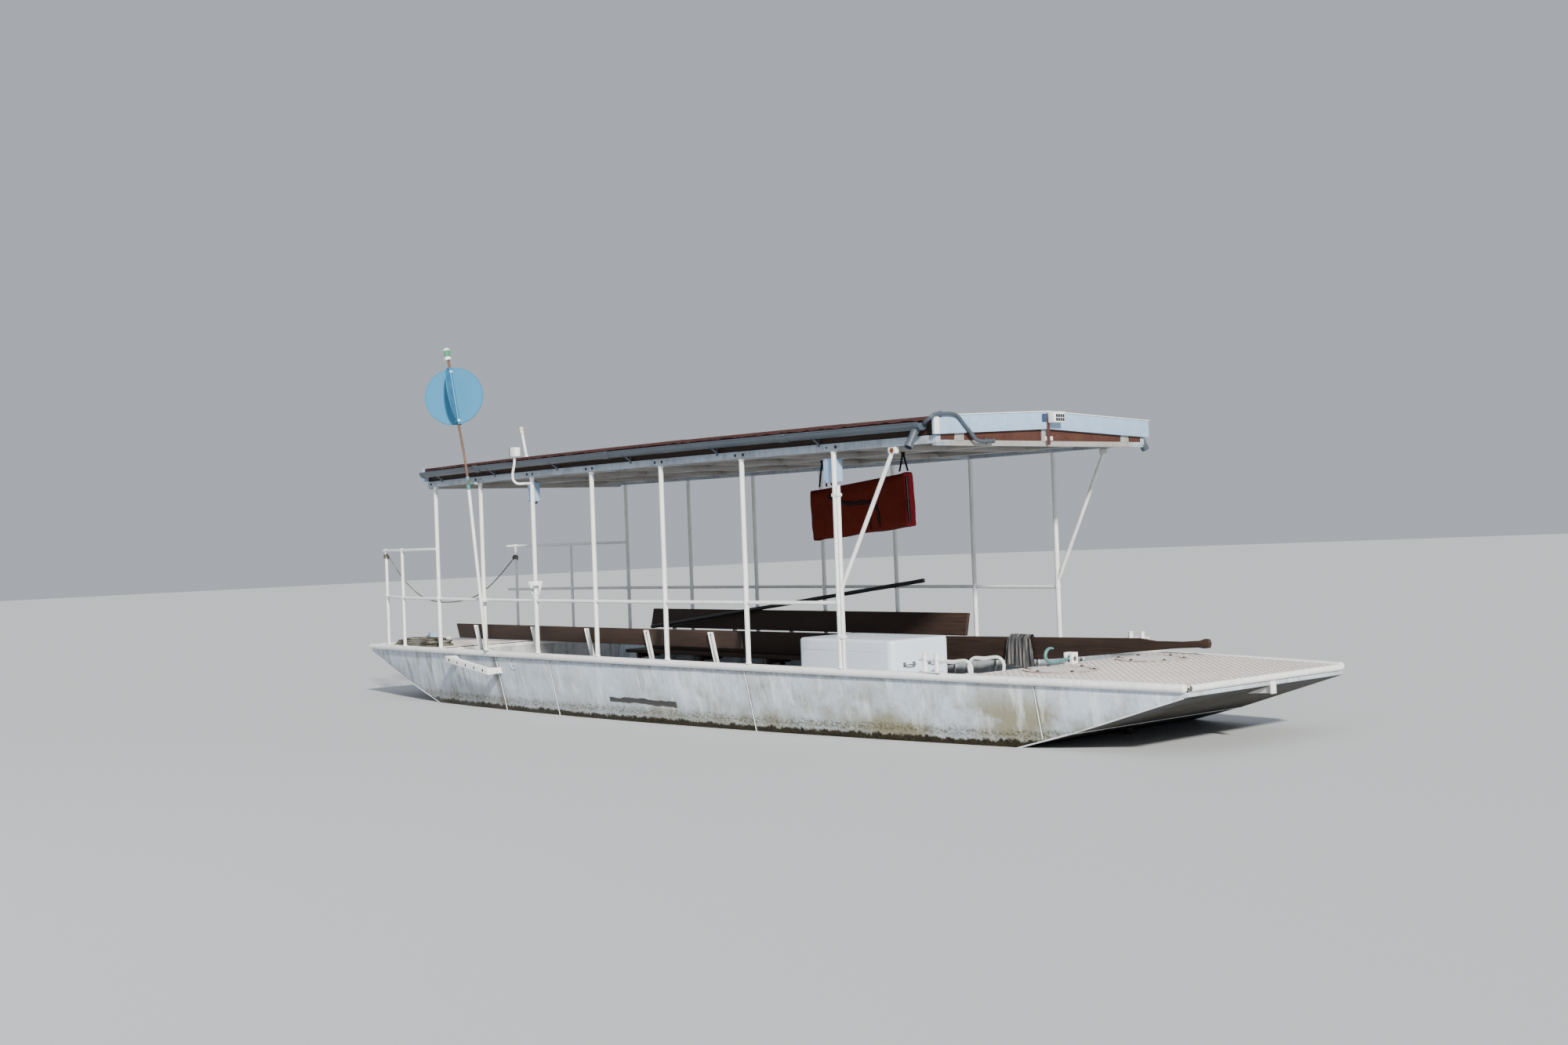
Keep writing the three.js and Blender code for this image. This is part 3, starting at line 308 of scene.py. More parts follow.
def hull_paint():
    """Pale paint with olive patches, thin dark runs, a tarred scrape and growth at the water, painted shade and dirt
    under the gunwale, painted shadow lines beside the welds and painted shade on the raked ends.
    """
    net = painted("hull_paint", colours().hull, 2.2, 0.3, 0.35, 0.25, (0.16, 0.15, 0.12))
    place = net.axes(net.place())
    along, height = place["X"], place["Z"]

    # Olive bloom, stronger low down and towards the stern
    cloud = net.patches((0.6, 0.6, 0.75), 2.6, 6, 0.65, 0.4, 0.58)
    low = net.between(height, 0.88, 0.6, 0.25, 1)
    sternwards = net.between(along, -1.5, 3.4, 0.22, 1)
    net.coat(net.times(net.times(cloud, low), sternwards), (0.2, 0.185, 0.095), 0.88)

    # Clean wipes and thin dark runs down the plates
    net.coat(net.patches((7, 7, 0.35), 1.3, 3, 0.6, 0.55, 0.68), (0.7, 0.74, 0.78), 0.62)
    fine = net.patches((26, 26, 0.5), 1.6, 3, 0.6, 0.56, 0.76)
    groups = net.patches((0.8, 0.8, 0.3), 1.9, 3, 0.55, 0.45, 0.62)
    runs = net.times(net.times(fine, groups), net.between(height, 0.3, 0.8, 0.35, 1))
    net.coat(runs, (0.055, 0.055, 0.045), 0.8)
    broad = net.patches((9, 9, 0.35), 1.4, 3, 0.6, 0.5, 0.66)
    net.coat(net.times(broad, net.between(along, -2.2, -3.3)), (0.14, 0.135, 0.1), 0.6)

    # Painted shade and dirt just under the gunwale, a painted shadow line beside each upright weld, and a broader
    # dark band of dirt near x = -2.43
    speckle = net.noise(net.place((3, 3, 6)), 9, 5, 0.7)
    # Painted shade of the gunwale tube, mixed with dirt, darkening the plate up to the tube
    under = net.between(net.plus(height, net.between(speckle, 0.3, 0.7, -0.018, 0.018)), 0.8, 0.836)
    net.coat(under, (0.07, 0.068, 0.055), 0.62)
    # A thin painted shadow line just astern of each upright weld bead
    for weld in WELD_X:
        net.coat(net.between(net.apart(along, weld + 0.009), 0.009, 0.004), (0.09, 0.085, 0.07), 0.72)
    away = net.work("ABSOLUTE", net.plus(along, net.between(speckle, 0.3, 0.7, 2.41, 2.45)))
    net.coat(net.between(away, 0.1, 0.02), (0.085, 0.085, 0.06), 0.7)

    # Tarred scrape along the port side
    ragged = net.noise(net.place((1, 1, 2)), 4, 4, 0.55)
    rise = net.apart(height, net.between(ragged, 0.3, 0.7, 0.486, 0.516))
    scrape = net.times(net.between(net.apart(along, 0.0925), 0.515, 0.5), net.between(rise, 0.031, 0.023))
    net.coat(net.times(scrape, net.between(place["Y"], 0, -0.1)), (0.02, 0.024, 0.032))

    # Scum above the water, then black growth at it
    growth = net.noise(net.place((1.6, 1.6, 1)), 9, 9, 0.75)
    level = net.less(height, net.plus(net.times(along, sizes().trim), sizes().waterline))
    crumbs = net.plus(level, net.between(growth, 0.3, 0.7, 0.03, -0.03))
    net.coat(net.between(crumbs, 0.26, 0.02, 0, 0.55), (0.2, 0.185, 0.13))
    dots = net.patches((1, 1, 1.6), 42, 5, 0.75, 0.44, 0.56)
    belt = net.times(net.between(crumbs, 0.15, 0.115), net.between(crumbs, 0.06, 0.085))
    net.coat(net.times(dots, belt), (0.06, 0.055, 0.018), 0.8)
    crust = net.blend(dots, (0.007, 0.006, 0.004), (0.03, 0.024, 0.01))
    net.coat(net.between(crumbs, 0.062, 0.044), crust)

    # Painted shade on the downward-facing plates of the raked ends, streaked with soil, and a rougher, less glossy
    # finish there
    facing = net.axes(net.put("ShaderNodeNewGeometry").outputs["True Normal"])
    # raked marks the downward-facing faces; the dark colour laid on them is painted shade
    raked = net.between(facing["Z"], -0.45, -0.6, 0, 0.9)
    scars = net.patches((0.6, 8, 0.6), 3, 6, 0.65, 0.35, 0.7)
    roughness = net.shader.inputs["Roughness"]
    net.feed(roughness, net.work("MAXIMUM", roughness.links[0].from_socket, raked))
    net.constants({"Specular IOR Level": 0.2})
    net.coat(raked, net.blend(scars, (0.016, 0.014, 0.012), (0.075, 0.067, 0.055)))

    # Plates dished between their frames
    net.bump(net.relief, net.noise(net.place((1, 1, 0.8)), 1.3, 2, 0.5), 0.35, 0.05)
    return net


def beam_paint():
    """Bluish paint on the side beams, warm grey on the cross beams and purlins between them."""
    net = painted("beam_paint", (0.34, 0.4, 0.48), 3, 0.55, 0.35, 0.5, (0.05, 0.035, 0.03))
    across = net.work("ABSOLUTE", net.axes(net.place())["Y"])
    net.coat(net.between(across, 1.13, 1.08, 0, 0.6), (0.3, 0.26, 0.2))
    return net


def checker_plate():
    """Painted plate with raised lozenges in two directions, worn along their crests."""
    net = painted("checker_plate", colours().deck, 2.4, 0.35, 0, 0.3, bump=0.5)
    rows = []
    for turn in (pi / 4, -pi / 4):
        where = net.axes(net.place((1, 1, 0), (0, 0, turn)))
        along = net.work("SINE", net.times(where["X"], 2 * pi / 0.066))
        across = net.work("SINE", net.times(where["Y"], 2 * pi / 0.033))
        rows.append(net.between(net.times(along, across), 0.35, 0.8))
    crest = net.work("MAXIMUM", *rows)
    net.feed(net.relief.inputs["Height"], crest)
    net.coat(net.between(crest, 0, 0.5, 0.5, 0), (0.32, 0.25, 0.23))
    net.coat(crest, (0.9, 0.89, 0.88), 0.5)
    return net


def wood(name, tone, pale, wear):
    net = new_material(name)
    layer = net.put("ShaderNodeGroup", {"Wood": rgba(tone), "Pale": rgba(pale), "Wear": wear},
        node_tree=grain_group())
    net.constants({"Specular IOR Level": 0.25})
    return net.surface(*layer.outputs, 0.4, 0.004)


def plain(name, colour, rough=0.5, metallic=0, grain=60, depth=0.1, vary=0.3):
    """A surface with a fine mottle in its colour, gloss and relief."""
    net = new_material(name)
    mottle = net.noise(net.place(), grain)
    cloud = net.noise(net.place(), grain / 12)
    shaded = [channel * 0.55 for channel in tuple(colour)[:3]]
    tone = net.blend(net.between(cloud, 0.35, 0.7, 0, vary), colour, shaded)
    net.constants({"Metallic": metallic, "Specular IOR Level": 0.12 if rough >= 0.8 else 0.5})
    gloss = net.between(mottle, 0.3, 0.7, rough * 0.85, min(1, rough * 1.15))
    return net.surface(tone, gloss, mottle, depth, 0.003)


def rope_fibre():
    """Three laid strands that wind round the rope, read from its chart, darker in the grooves between them."""
    net = new_material("rope_fibre")
    chart = net.axes(net.put("ShaderNodeUVMap").outputs["UV"])
    lay = net.plus(net.times(chart["X"], 3), chart["Y"])
    groove = net.between(net.work("SINE", net.times(lay, 2 * pi)), -1, 0.2)
    fuzz = net.noise(net.place(), 160)
    patch = net.patches((1, 3, 3), 3.5, 4, 0.6, 0.42, 0.6)
    pale = net.blend(patch, (0.34, 0.33, 0.29), (0.085, 0.078, 0.045))
    # Darker in the grooves between the strands
    tone = net.blend(groove, (0.025, 0.022, 0.018), pale)
    net.surface(tone, net.between(fuzz, 0.3, 0.7, 0.85, 1), groove, 0.9, 0.003)
    net.coat(net.between(fuzz, 0.45, 0.7, 0, 0.45), (0.05, 0.045, 0.03))
    return net


def cover_paint():
    """Deck paint on the round covers, with a ring of rust inside their bolts."""
    net = painted("cover_paint", colours().deck, 4, 0.5, 0, 0.5, bump=0.25)
    place = net.axes(net.place())
    along = net.less(place["X"], COVER_X)
    across = net.less(net.work("ABSOLUTE", place["Y"]), COVER_Y)
    flat = net.put("ShaderNodeCombineXYZ", {"X": along, "Y": across}).outputs["Vector"]
    radius = net.put("ShaderNodeVectorMath", {0: flat}, operation="LENGTH").outputs["Value"]
    ragged = net.between(net.noise(net.place(), 34, 5, 0.7), 0.3, 0.7, -0.01, 0.01)
    reach = net.plus(radius, ragged)
    ring = net.times(net.between(reach, 0.214, 0.226), net.between(reach, 0.246, 0.234))
    net.coat(net.work("MAXIMUM", ring, net.between(reach, 0.268, 0.28)), (0.13, 0.055, 0.03), 0.8)
    return net


def green_lens():
    """Ribbed green glass of the signal lamp."""
    net = plain("green_lens", (0.1, 0.42, 0.22), 0.15, grain=8, depth=0.02)
    net.constants({"Transmission Weight": 0.35, "IOR": 1.5, "Coat Weight": 0.5})
    return net


def red_cloth():
    """Coated cloth: dark red, with a quilted stern end painted brighter crimson as a sunlit face."""
    net = plain("red_cloth", colours().red, 0.8, grain=300, depth=0.35, vary=0.5)
    own = net.place()
    for key, value in (("Location", -PAD_CENTRE), ("Rotation", [-angle for angle in PAD_TURN])):
        own = net.put("ShaderNodeMapping", {"Vector": own, key: tuple(value)}).outputs[0]
    own = net.axes(own)
    # The stern end is painted brighter crimson as painted sunlight; the quilting relief on it follows below
    end = net.between(own["X"], 0.764, 0.772)
    net.coat(end, (0.25, 0.016, 0.026))
    rows = []
    for tilt in (1, -1):
        slant = net.plus(own["Z"], net.times(own["Y"], tilt))
        rows.append(net.work("ABSOLUTE", net.work("SINE", net.times(slant, pi / 0.085))))
    net.bump(net.relief, net.times(net.work("MINIMUM", *rows), end), 0.6, 0.008)
    return net


def grey_cloth():
    """Worn terry cloth in dark and faded strips."""
    net = plain("grey_cloth", (0.06, 0.063, 0.07), 0.95, grain=350, depth=0.5)
    strips = net.noise(net.place((46, 4, 2.2)), 1, 3, 0.6)
    net.coat(net.between(strips, 0.5, 0.6), (0.18, 0.173, 0.16))
    net.coat(net.between(strips, 0.42, 0.34), (0.012, 0.012, 0.013))
    return net


COVER_X, COVER_Y, COVER_R = 4.3, 0.555, 0.28

PLAIN_FINISHES = {
    # name: colour, roughness, metallic, size of grain, depth, variation
    "pole_black": ((0.01, 0.01, 0.012), 0.45),
    "roof_felt": ((0.05, 0.021, 0.018), 0.9, 0, 220, 0.5),
    "gutter_plastic": ((0.058, 0.077, 0.1), 0.42, 0, 30),
    "hood_plastic": ((0.66, 0.75, 0.87), 0.3, 0, 20, 0.03, 0.12),
    "engine_iron": ((0.03, 0.045, 0.04), 0.5, 0.3),
    "bare_steel": ((0.35, 0.35, 0.36), 0.35, 1),
    "bronze": ((0.42, 0.25, 0.08), 0.35, 1),
    "lamp_plastic": ((0.62, 0.7, 0.6), 0.3),
    "webbing": ((0.01, 0.01, 0.01), 0.85, 0, 300),
    "dark_band": ((0.016, 0.006, 0.006), 0.8, 0, 300, 0.3),
    "navy_plastic": ((0.02, 0.045, 0.11), 0.45, 0, 30),
    "dark_bolt": ((0.045, 0.038, 0.034), 0.55, 0.5, 90),
    "rusty_bolt": ((0.15, 0.055, 0.02), 0.85, 0.1, 120, 0.5),
    "dark_glass": ((0.012, 0.016, 0.022), 0.12, 0, 6, 0.01),
    "black_rubber": ((0.015, 0.015, 0.017), 0.7, 0, 80, 0.2),
    "cream_plastic": ((0.62, 0.55, 0.42), 0.45, 0, 30),
    "reddish_trim": ((0.062, 0.018, 0.016), 0.7, 0, 50, 0.1, 0.6),
}
PAINT_FINISHES = {
    # name: paint, scale, stains, streaks, rusting, stain
    "floor_paint": ((0.12, 0.115, 0.1), 3, 0.6),
    "inner_paint": ((0.55, 0.58, 0.6), 2.2, 0.6, 0.6, 0.8, (0.06, 0.045, 0.035)),
    "box_plastic": ((0.3, 0.45, 0.66), 3, 0.15, 0.2, 0),
    "engine_paint": ((0.035, 0.11, 0.075), 3, 0.5, 0.2, 0.4, (0.02, 0.018, 0.012)),
    # A lighter copy of the hull paint for the weld beads, as a painted highlight
    "weld_paint": ((0.7, 0.74, 0.78), 3, 0.3, 0.2, 0.3),
}
WOOD_FINISHES = {
    # name: dark veins, pale veins, wear
    "board_brown": ((0.05, 0.017, 0.012), (0.12, 0.055, 0.038), 0.3),
    "stick_wood": ((0.09, 0.05, 0.035), (0.2, 0.14, 0.1), 0.4),
}
MADE_FINISHES = {"hull_paint": hull_paint, "beam_paint": beam_paint, "deck_paint": checker_plate,
    "cover_paint": cover_paint, "rope_fibre": rope_fibre, "red_cloth": red_cloth, "grey_cloth": grey_cloth,
    "green_lens": green_lens}
FINISHES = {}


def finish(name):
    """The finish of that name, built once."""
    if name in FINISHES:
        return FINISHES[name]
    user = colours()
    if name in MADE_FINISHES:
        net = MADE_FINISHES[name]()
    elif name in PAINT_FINISHES:
        net = painted(name, *PAINT_FINISHES[name])
    elif name in ("white_paint", "light_blue_paint"):
        net = painted(name, getattr(user, name.removesuffix("_paint")), 3, 0.14, 0.2, 0.25)
    elif name == "dark_wood":
        net = wood(name, user.wood, (0.065, 0.04, 0.03), 0.3)
    elif name in WOOD_FINISHES:
        net = wood(name, *WOOD_FINISHES[name])
    elif name == "sign_paint":
        net = plain(name, user.sign, 0.45, 0, 14, 0.04, 0.18)
    elif name in ("tape", "teal_paint"):
        net = plain(name, user.teal, 0.4, 0, 40, 0.08)
    else:
        net = plain(name, *PLAIN_FINISHES[name])
    net.material.name = "finish_" + name
    FINISHES[name] = net.material
    return net.material


# Modelling


def deselect():
    bpy.ops.object.select_all(action="DESELECT")


def pick(*pieces):
    deselect()
    for piece in pieces:
        piece.select_set(True)
    bpy.context.view_layer.objects.active = pieces[0]


def edit(kind="VERT"):
    """Enters edit mode with everything selected."""
    bpy.ops.object.mode_set(mode="EDIT")
    bpy.ops.mesh.select_mode(type=kind)
    bpy.ops.mesh.select_all(action="SELECT")


def leave():
    bpy.ops.mesh.select_mode(type="VERT")
    bpy.ops.object.mode_set(mode="OBJECT")


def select(piece, kind, test):
    """Enters edit mode with only the points, edges or faces that pass a test selected."""
    pick(piece)
    edit(kind)
    bpy.ops.mesh.select_all(action="DESELECT")
    bpy.ops.object.mode_set(mode="OBJECT")
    mesh = piece.data
    for item in {"VERT": mesh.vertices, "EDGE": mesh.edges, "FACE": mesh.polygons}[kind]:
        item.select = test(*(mesh.vertices[i].co for i in item.vertices)) if kind == "EDGE" else test(item)
    bpy.ops.object.mode_set(mode="EDIT")


def active():
    return bpy.context.active_object


def settle(name, material, body="boat", slot=None, replaces=(), angle=35):
    """Names the active piece, gives it its finish and its body, and smooths its round faces."""
    piece = active()
    pick(piece)
    bpy.ops.object.transform_apply(location=True, rotation=True, scale=True)
    bpy.ops.object.shade_smooth_by_angle(angle=radians(angle))
    piece.name = name
    piece.data.materials.clear()
    piece.data.materials.append(finish(material))
    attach(piece, body)
    if replaces:
        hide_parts(*replaces)
    return piece


def copy_of(node):
    """A copy of a CAD node as one merged mesh, left as the active object."""
    pick(frame["nodes"][node])
    bpy.ops.object.duplicate()
    piece = active()
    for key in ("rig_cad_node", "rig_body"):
        if key in piece:
            del piece[key]
    piece.parent = None
    bpy.ops.mesh.customdata_custom_splitnormals_clear()
    edit()
    bpy.ops.mesh.remove_doubles(threshold=0.00002)
    bpy.ops.mesh.dissolve_limited(angle_limit=radians(0.3))
    bpy.ops.object.mode_set(mode="OBJECT")
    return piece


def modify(piece, kind, **settings):
    """Gives a piece a modifier and applies it."""
    pick(piece)
    modifier = piece.modifiers.new(kind, kind)
    for key, value in settings.items():
        setattr(modifier, key, value)
    bpy.ops.object.modifier_apply(modifier=modifier.name)
    return piece


def round_edges(piece, width, segments=2, angle=50):
    return modify(piece, "BEVEL", width=width, segments=segments, limit_method="ANGLE", angle_limit=radians(angle))


def gather(pieces, *named, **rest):
    """Joins pieces into one and settles it."""
    join(*pieces)
    return settle(*named, **rest)


def dress(node, name, material, *edges, **rest):
    """Eases the edges of a CAD node's copy, which then stands for the node."""
    round_edges(copy_of(node), *edges)
    return settle(name, material, replaces=[node], **rest)


def thicken(piece, thickness, offset=-1):
    """Gives a sheet its thickness, inwards from its faces unless the offset says otherwise."""
    return modify(piece, "SOLIDIFY", thickness=thickness, offset=offset, use_even_offset=True)


def close(piece, threshold=0.00001):
    """Merges the seams of a piece, fills its open ends and turns its faces outwards."""
    pick(piece)
    edit()
    bpy.ops.mesh.remove_doubles(threshold=threshold)
    bpy.ops.mesh.fill_holes(sides=0)
    bpy.ops.mesh.normals_make_consistent(inside=False)
    bpy.ops.object.mode_set(mode="OBJECT")
    return piece


def join(*pieces):
    for piece in pieces:
        pick(piece)
        bpy.ops.object.transform_apply(location=True, rotation=True, scale=True)
    pick(*pieces)
    bpy.ops.object.join()
    return active()


def about(middle, reach):
    return (middle - reach, middle + reach)


def block(x, y, z, rounding=0, segments=2):
    """A box between two limits on each axis, with its edges rounded."""
    deselect()
    bpy.ops.mesh.primitive_cube_add(size=1, location=[sum(limits) / 2 for limits in (x, y, z)],
        scale=[abs(limits[1] - limits[0]) for limits in (x, y, z)])
    piece = active()
    bpy.ops.object.transform_apply(location=True, rotation=False, scale=True)
    return round_edges(piece, rounding, segments) if rounding else piece


def rod(a, b, radius, sides=24, rim=0):
    """A round bar between two points, with its end edges eased."""
    a, b = Vector(a), Vector(b)
    deselect()
    bpy.ops.mesh.primitive_cylinder_add(vertices=sides, radius=radius, depth=(b - a).length, location=(a + b) / 2,
        rotation=(b - a).to_track_quat("Z", "Y").to_euler())
    piece = active()
    return round_edges(piece, rim, 2, 60) if rim else piece


def turned(a, b, profile, sides=24):
    """A turned piece on the line from a to b, from rows of distance past a and radius."""
    deselect()
    (level, radius), *rest = profile
    bpy.ops.mesh.primitive_circle_add(vertices=sides, radius=radius, fill_type="NGON", location=(0, 0, level))
    piece = active()
    bpy.ops.object.transform_apply(location=True, rotation=False, scale=False)
    edit("FACE")
    for height, wide in rest:
        extrude((0, 0, height - level))
        bpy.ops.transform.resize(value=(wide / radius, wide / radius, 1), center_override=(0, 0, height))
        level, radius = height, wide
    leave()
    close(piece, 0.000001)
    piece.location = a
    piece.rotation_euler = (Vector(b) - Vector(a)).to_track_quat("Z", "Y").to_euler()
    return piece


def upright(foot, profile, sides=24):
    """A turned piece that stands on its foot."""
    return turned(foot, Vector(foot) + Vector(UP), profile, sides)


def torus(place, turn, radius, thick, around=48, across=10):
    deselect()
    bpy.ops.mesh.primitive_torus_add(major_segments=around, minor_segments=across, major_radius=radius,
        minor_radius=thick, location=place, rotation=turn)
    return active()


def polygon(points):
    """One flat face through points."""
    deselect()
    bpy.ops.mesh.primitive_circle_add(vertices=len(points), radius=1, fill_type="NGON")
    piece = active()
    for vertex, point in zip(piece.data.vertices, points):
        vertex.co = point
    return piece


def extrude(move):
    bpy.ops.mesh.extrude_region_move(TRANSFORM_OT_translate={"value": move})


def plate(outline, low, high, rounding):
    """A flat piece with an outline of y and z, given its thickness along x."""
    piece = polygon([(low, y, z) for y, z in outline])
    edit("FACE")
    extrude((high - low, 0, 0))
    leave()
    close(piece, 0.000001)
    return round_edges(piece, rounding)


def skin(rows):
    """A sheet through rows of points, shaped from a grid that keeps its chart."""
    deselect()
    across, along = len(rows[0]) - 1, len(rows) - 1
    bpy.ops.mesh.primitive_grid_add(x_subdivisions=across, y_subdivisions=along, size=1)
    piece = active()
    for vertex in piece.data.vertices:
        column = round((vertex.co.x + 0.5) * across)
        row = round((vertex.co.y + 0.5) * along)
        vertex.co = rows[row][column]
    return piece


def mixed(a, b, start, end, now):
    return a * (end - now) / (end - start) + b * (now - start) / (end - start)


def smooth_line(points, steps):
    """Points along a centripetal curve through the given ones."""
    knots = [Vector(p) for p in points]
    knots = [knots[0] * 2 - knots[1], *knots, knots[-1] * 2 - knots[-2]]
    line = []
    for a, b, c, d in zip(knots, knots[1:], knots[2:], knots[3:]):
        t1 = sqrt((b - a).length)
        t2 = t1 + sqrt((c - b).length)
        t3 = t2 + sqrt((d - c).length)
        for step in range(steps):
            t = t1 + (t2 - t1) * step / steps
            ab, bc, cd = mixed(a, b, 0, t1, t), mixed(b, c, t1, t2, t), mixed(c, d, t2, t3, t)
            line.append(mixed(mixed(ab, bc, 0, t2, t), mixed(bc, cd, t1, t3, t), t1, t2, t))
    return [*line, knots[-2]]


def tube(line, radius, sides=16):
    """A round tube along a line, its chart counting diameters along and turns across."""
    line = [Vector(p) for p in line]
    radii = list(radius) if isinstance(radius, (list, tuple)) else [radius] * len(line)
    travelled = [0]
    for a, b in zip(line, line[1:]):
        travelled.append(travelled[-1] + (b - a).length)
    heading = (line[1] - line[0]).normalized()
    side = heading.orthogonal().normalized()
    turns = [2 * pi * k / sides for k in range(sides + 1)]
    rows = []
    for i, (point, r) in enumerate(zip(line, radii)):
        ahead = (line[min(i + 1, len(line) - 1)] - line[max(i - 1, 0)]).normalized()
        side = heading.rotation_difference(ahead) @ side
        heading = ahead
        other = heading.cross(side)
        rows.append([point + (side * cos(t) + other * sin(t)) * r for t in turns])
    piece = skin(rows)
    for corner in piece.data.uv_layers.active.data:
        corner.uv.y = travelled[round(corner.uv.y * (len(line) - 1))] / (2 * max(radii))
    return close(piece)


def bolts(places, axis, radius, height, washer=1.7, name=None):
    """Hexagon heads on washers, modelled once and copied to their places, facing along the axis."""
    disc = turned((0, 0, 0), UP, [(0, radius * washer), (height * 0.25, radius * washer)], 16)
    head = turned((0, 0, 0), UP, [(height * 0.2, radius), (height * 0.9, radius), (height, radius * 0.8)], 6)
    first = join(disc, head)
    turn = Vector(axis).to_track_quat("Z", "Y").to_euler()
    made = []
    for place in places:
        pick(first)
        bpy.ops.object.duplicate()
        piece = active()
        piece.rotation_euler = turn
        piece.location = place
        made.append(piece)
    bpy.data.objects.remove(first)
    join(*made)
    return settle(name, "dark_bolt", slot="bare_steel") if name else active()


def spaced(start, end, count):
    return [start + (end - start) * i / (count - 1) for i in range(count)]


# Ropes

GATE_X = -5.47
GATE_POST_Y = 0.88
GATE_ROPE = (
    # y, z across the boarding gate
    (-0.855, 1.868), (-0.82, 1.822), (-0.76, 1.73), (-0.695, 1.63), (-0.56, 1.48),
    (-0.416, 1.372), (-0.25, 1.312), (-0.1, 1.296), (0.06, 1.298), (0.218, 1.322),
    (0.36, 1.38), (0.5, 1.466), (0.669, 1.61), (0.8, 1.738), (0.855, 1.796),
)


def build_gate_rope():
    thick = sizes().gate_rope
    line = smooth_line([(GATE_X, y, z) for y, z in GATE_ROPE], 6)
    tube(line, thick / 2, 12)
    rope = settle("gate_rope_line", "rope_fibre", replaces=["gate_rope"])
    lashings = []
    for sign, middle in ((-1, 1.868), (1, 1.796)):
        turns, reach = 4, 0.017 + thick / 2 + 0.0005
        wound = []
        for share in spaced(0, 1, turns * 20 + 1):
            angle = 2 * pi * turns * share
            wound.append((GATE_X + reach * cos(angle), sign * GATE_POST_Y + reach * sin(angle),
                middle + thick * 1.1 * turns * (share - 0.5)))
        lashings.append(tube(wound, thick / 2, 10))
        knot = []
        for a in spaced(0, 2 * pi, 37):
            bulge = 0.011 * (2 + cos(3 * a))
            knot.append((GATE_X - 0.034 + 0.01 * sin(3 * a), sign * (GATE_POST_Y - 0.004) + bulge * cos(2 * a) * 0.7,
                middle + bulge * sin(2 * a) * 0.7))
        lashings.append(tube(knot, thick / 2, 10))
    knots = gather(lashings, "gate_rope_lashings", "rope_fibre")


class FERRY_OT_gate_rope(Operator):
    """Hangs the rope across the boarding gate and winds its ends round the posts"""

    bl_idname = "ferry.gate_rope"
    bl_label = "Gate Rope"

    def execute(self, context):
        build_gate_rope()
        return {"FINISHED"}


# From the fairlead down to the bow deck
MOORING_LEAD = (
    # x, y, z
    (-5.27, -0.465, 0.9186), (-5.27, -0.48, 0.9182), (-5.2695, -0.496, 0.9156),
    (-5.2685, -0.511, 0.9098), (-5.267, -0.525, 0.901), (-5.265, -0.538, 0.8904),
    (-5.2626, -0.551, 0.8796), (-5.26, -0.566, 0.8696), (-5.2574, -0.583, 0.8622),
    (-5.2546, -0.602, 0.8586), (-5.2514, -0.625, 0.858), (-5.2476, -0.65, 0.858),
    (-5.2434, -0.676, 0.858), (-5.2392, -0.702, 0.8581), (-5.2354, -0.728, 0.8581),
)
HEAP_END = Vector((-5.25, -0.815, 0.8478))
HEAP_TURN = Euler((0, -atan(0.018803), -0.135), "XYZ")
HEAP_CENTRES = (0.167, 1.123)
COIL_LAYERS = (
    # turns, change of radius in a turn, how far the ends draw in over the layer
    (4, -0.022, 0),
    (3, 0.022, 0),
    (2, -0.022, 0.13),
    (1, 0.022, 0),
)
CLIMB = 0.3
COIL_START = 0.25 * 78 / 180  # 78 degrees into the near bend


def coil_line():
    """Centre line of the long oval coil in the heap's own frame."""
    turn = 0.25 + COIL_START
    radius, drawn, height = 0.157, 0, 0.0102
    stations = []
    for number, (turns, change, draw) in enumerate(COIL_LAYERS):
        count = round(turns * 60)
        for i in range(count):
            share = i / count
            stations.append((turn + turns * share, radius + change * turns * share, height, drawn + draw * share))
        turn += turns
        radius += change * turns
        drawn += draw
        if number + 1 < len(COIL_LAYERS):
            for i in range(18):
                share = i / 18
                eased = share * share * (3 - 2 * share)
                stations.append((turn + CLIMB * share, radius, height + 0.021 * eased, drawn))
            turn += CLIMB
            height += 0.021
    points = []
    for turn, radius, height, drawn in stations:
        near, far = HEAP_CENTRES[0] + drawn, HEAP_CENTRES[1] - drawn
        share = turn % 1
        if 0.25 <= share < 0.5:
            angle = pi / 2 + pi * (share - 0.25) / 0.25
            u, v = near + radius * cos(angle), radius * sin(angle)
        elif 0.5 <= share < 0.75:
            u, v = near + (far - near) * (share - 0.5) / 0.25, -radius
        elif share >= 0.75:
            angle = -pi / 2 + pi * (share - 0.75) / 0.25
            u, v = far + radius * cos(angle), radius * sin(angle)
        else:
            u, v = far + (near - far) * share / 0.25, radius
        v += 0.016 * sin(u * 9 + 0.4) * min(1, max(0, (u - 0.15) / 0.3))
        points.append((u, v, height))
    return points


def build_mooring_rope():
    thick = sizes().mooring_rope
    set_down = Matrix.Translation(HEAP_END) @ HEAP_TURN.to_matrix().to_4x4()
    coil = [set_down @ Vector(point) for point in coil_line()]
    line = smooth_line([*MOORING_LEAD, *coil[:4]], 3)
    line = [*line, *coil[4:]]
    tube(line, thick / 2, 12)
    rope = settle("mooring_rope_line", "rope_fibre", replaces=["mooring_rope", "rope_heap"])
    end = line[-1]
    ahead = (end - line[-2]).normalized()
    turned(end - ahead * 0.04, end + ahead * 0.004, [(0, 0.0104), (0.004, 0.0112), (0.04, 0.0112), (0.044, 0.0095)],
        16)
    whipping = settle("mooring_rope_whipping", "webbing", slot="rope_fibre")


class FERRY_OT_mooring_rope(Operator):
    """Leads the mooring rope from the fairlead and lays it down in a long oval coil"""

    bl_idname = "ferry.mooring_rope"
    bl_label = "Mooring Rope"

    def execute(self, context):
        build_mooring_rope()
        return {"FINISHED"}


# Hull

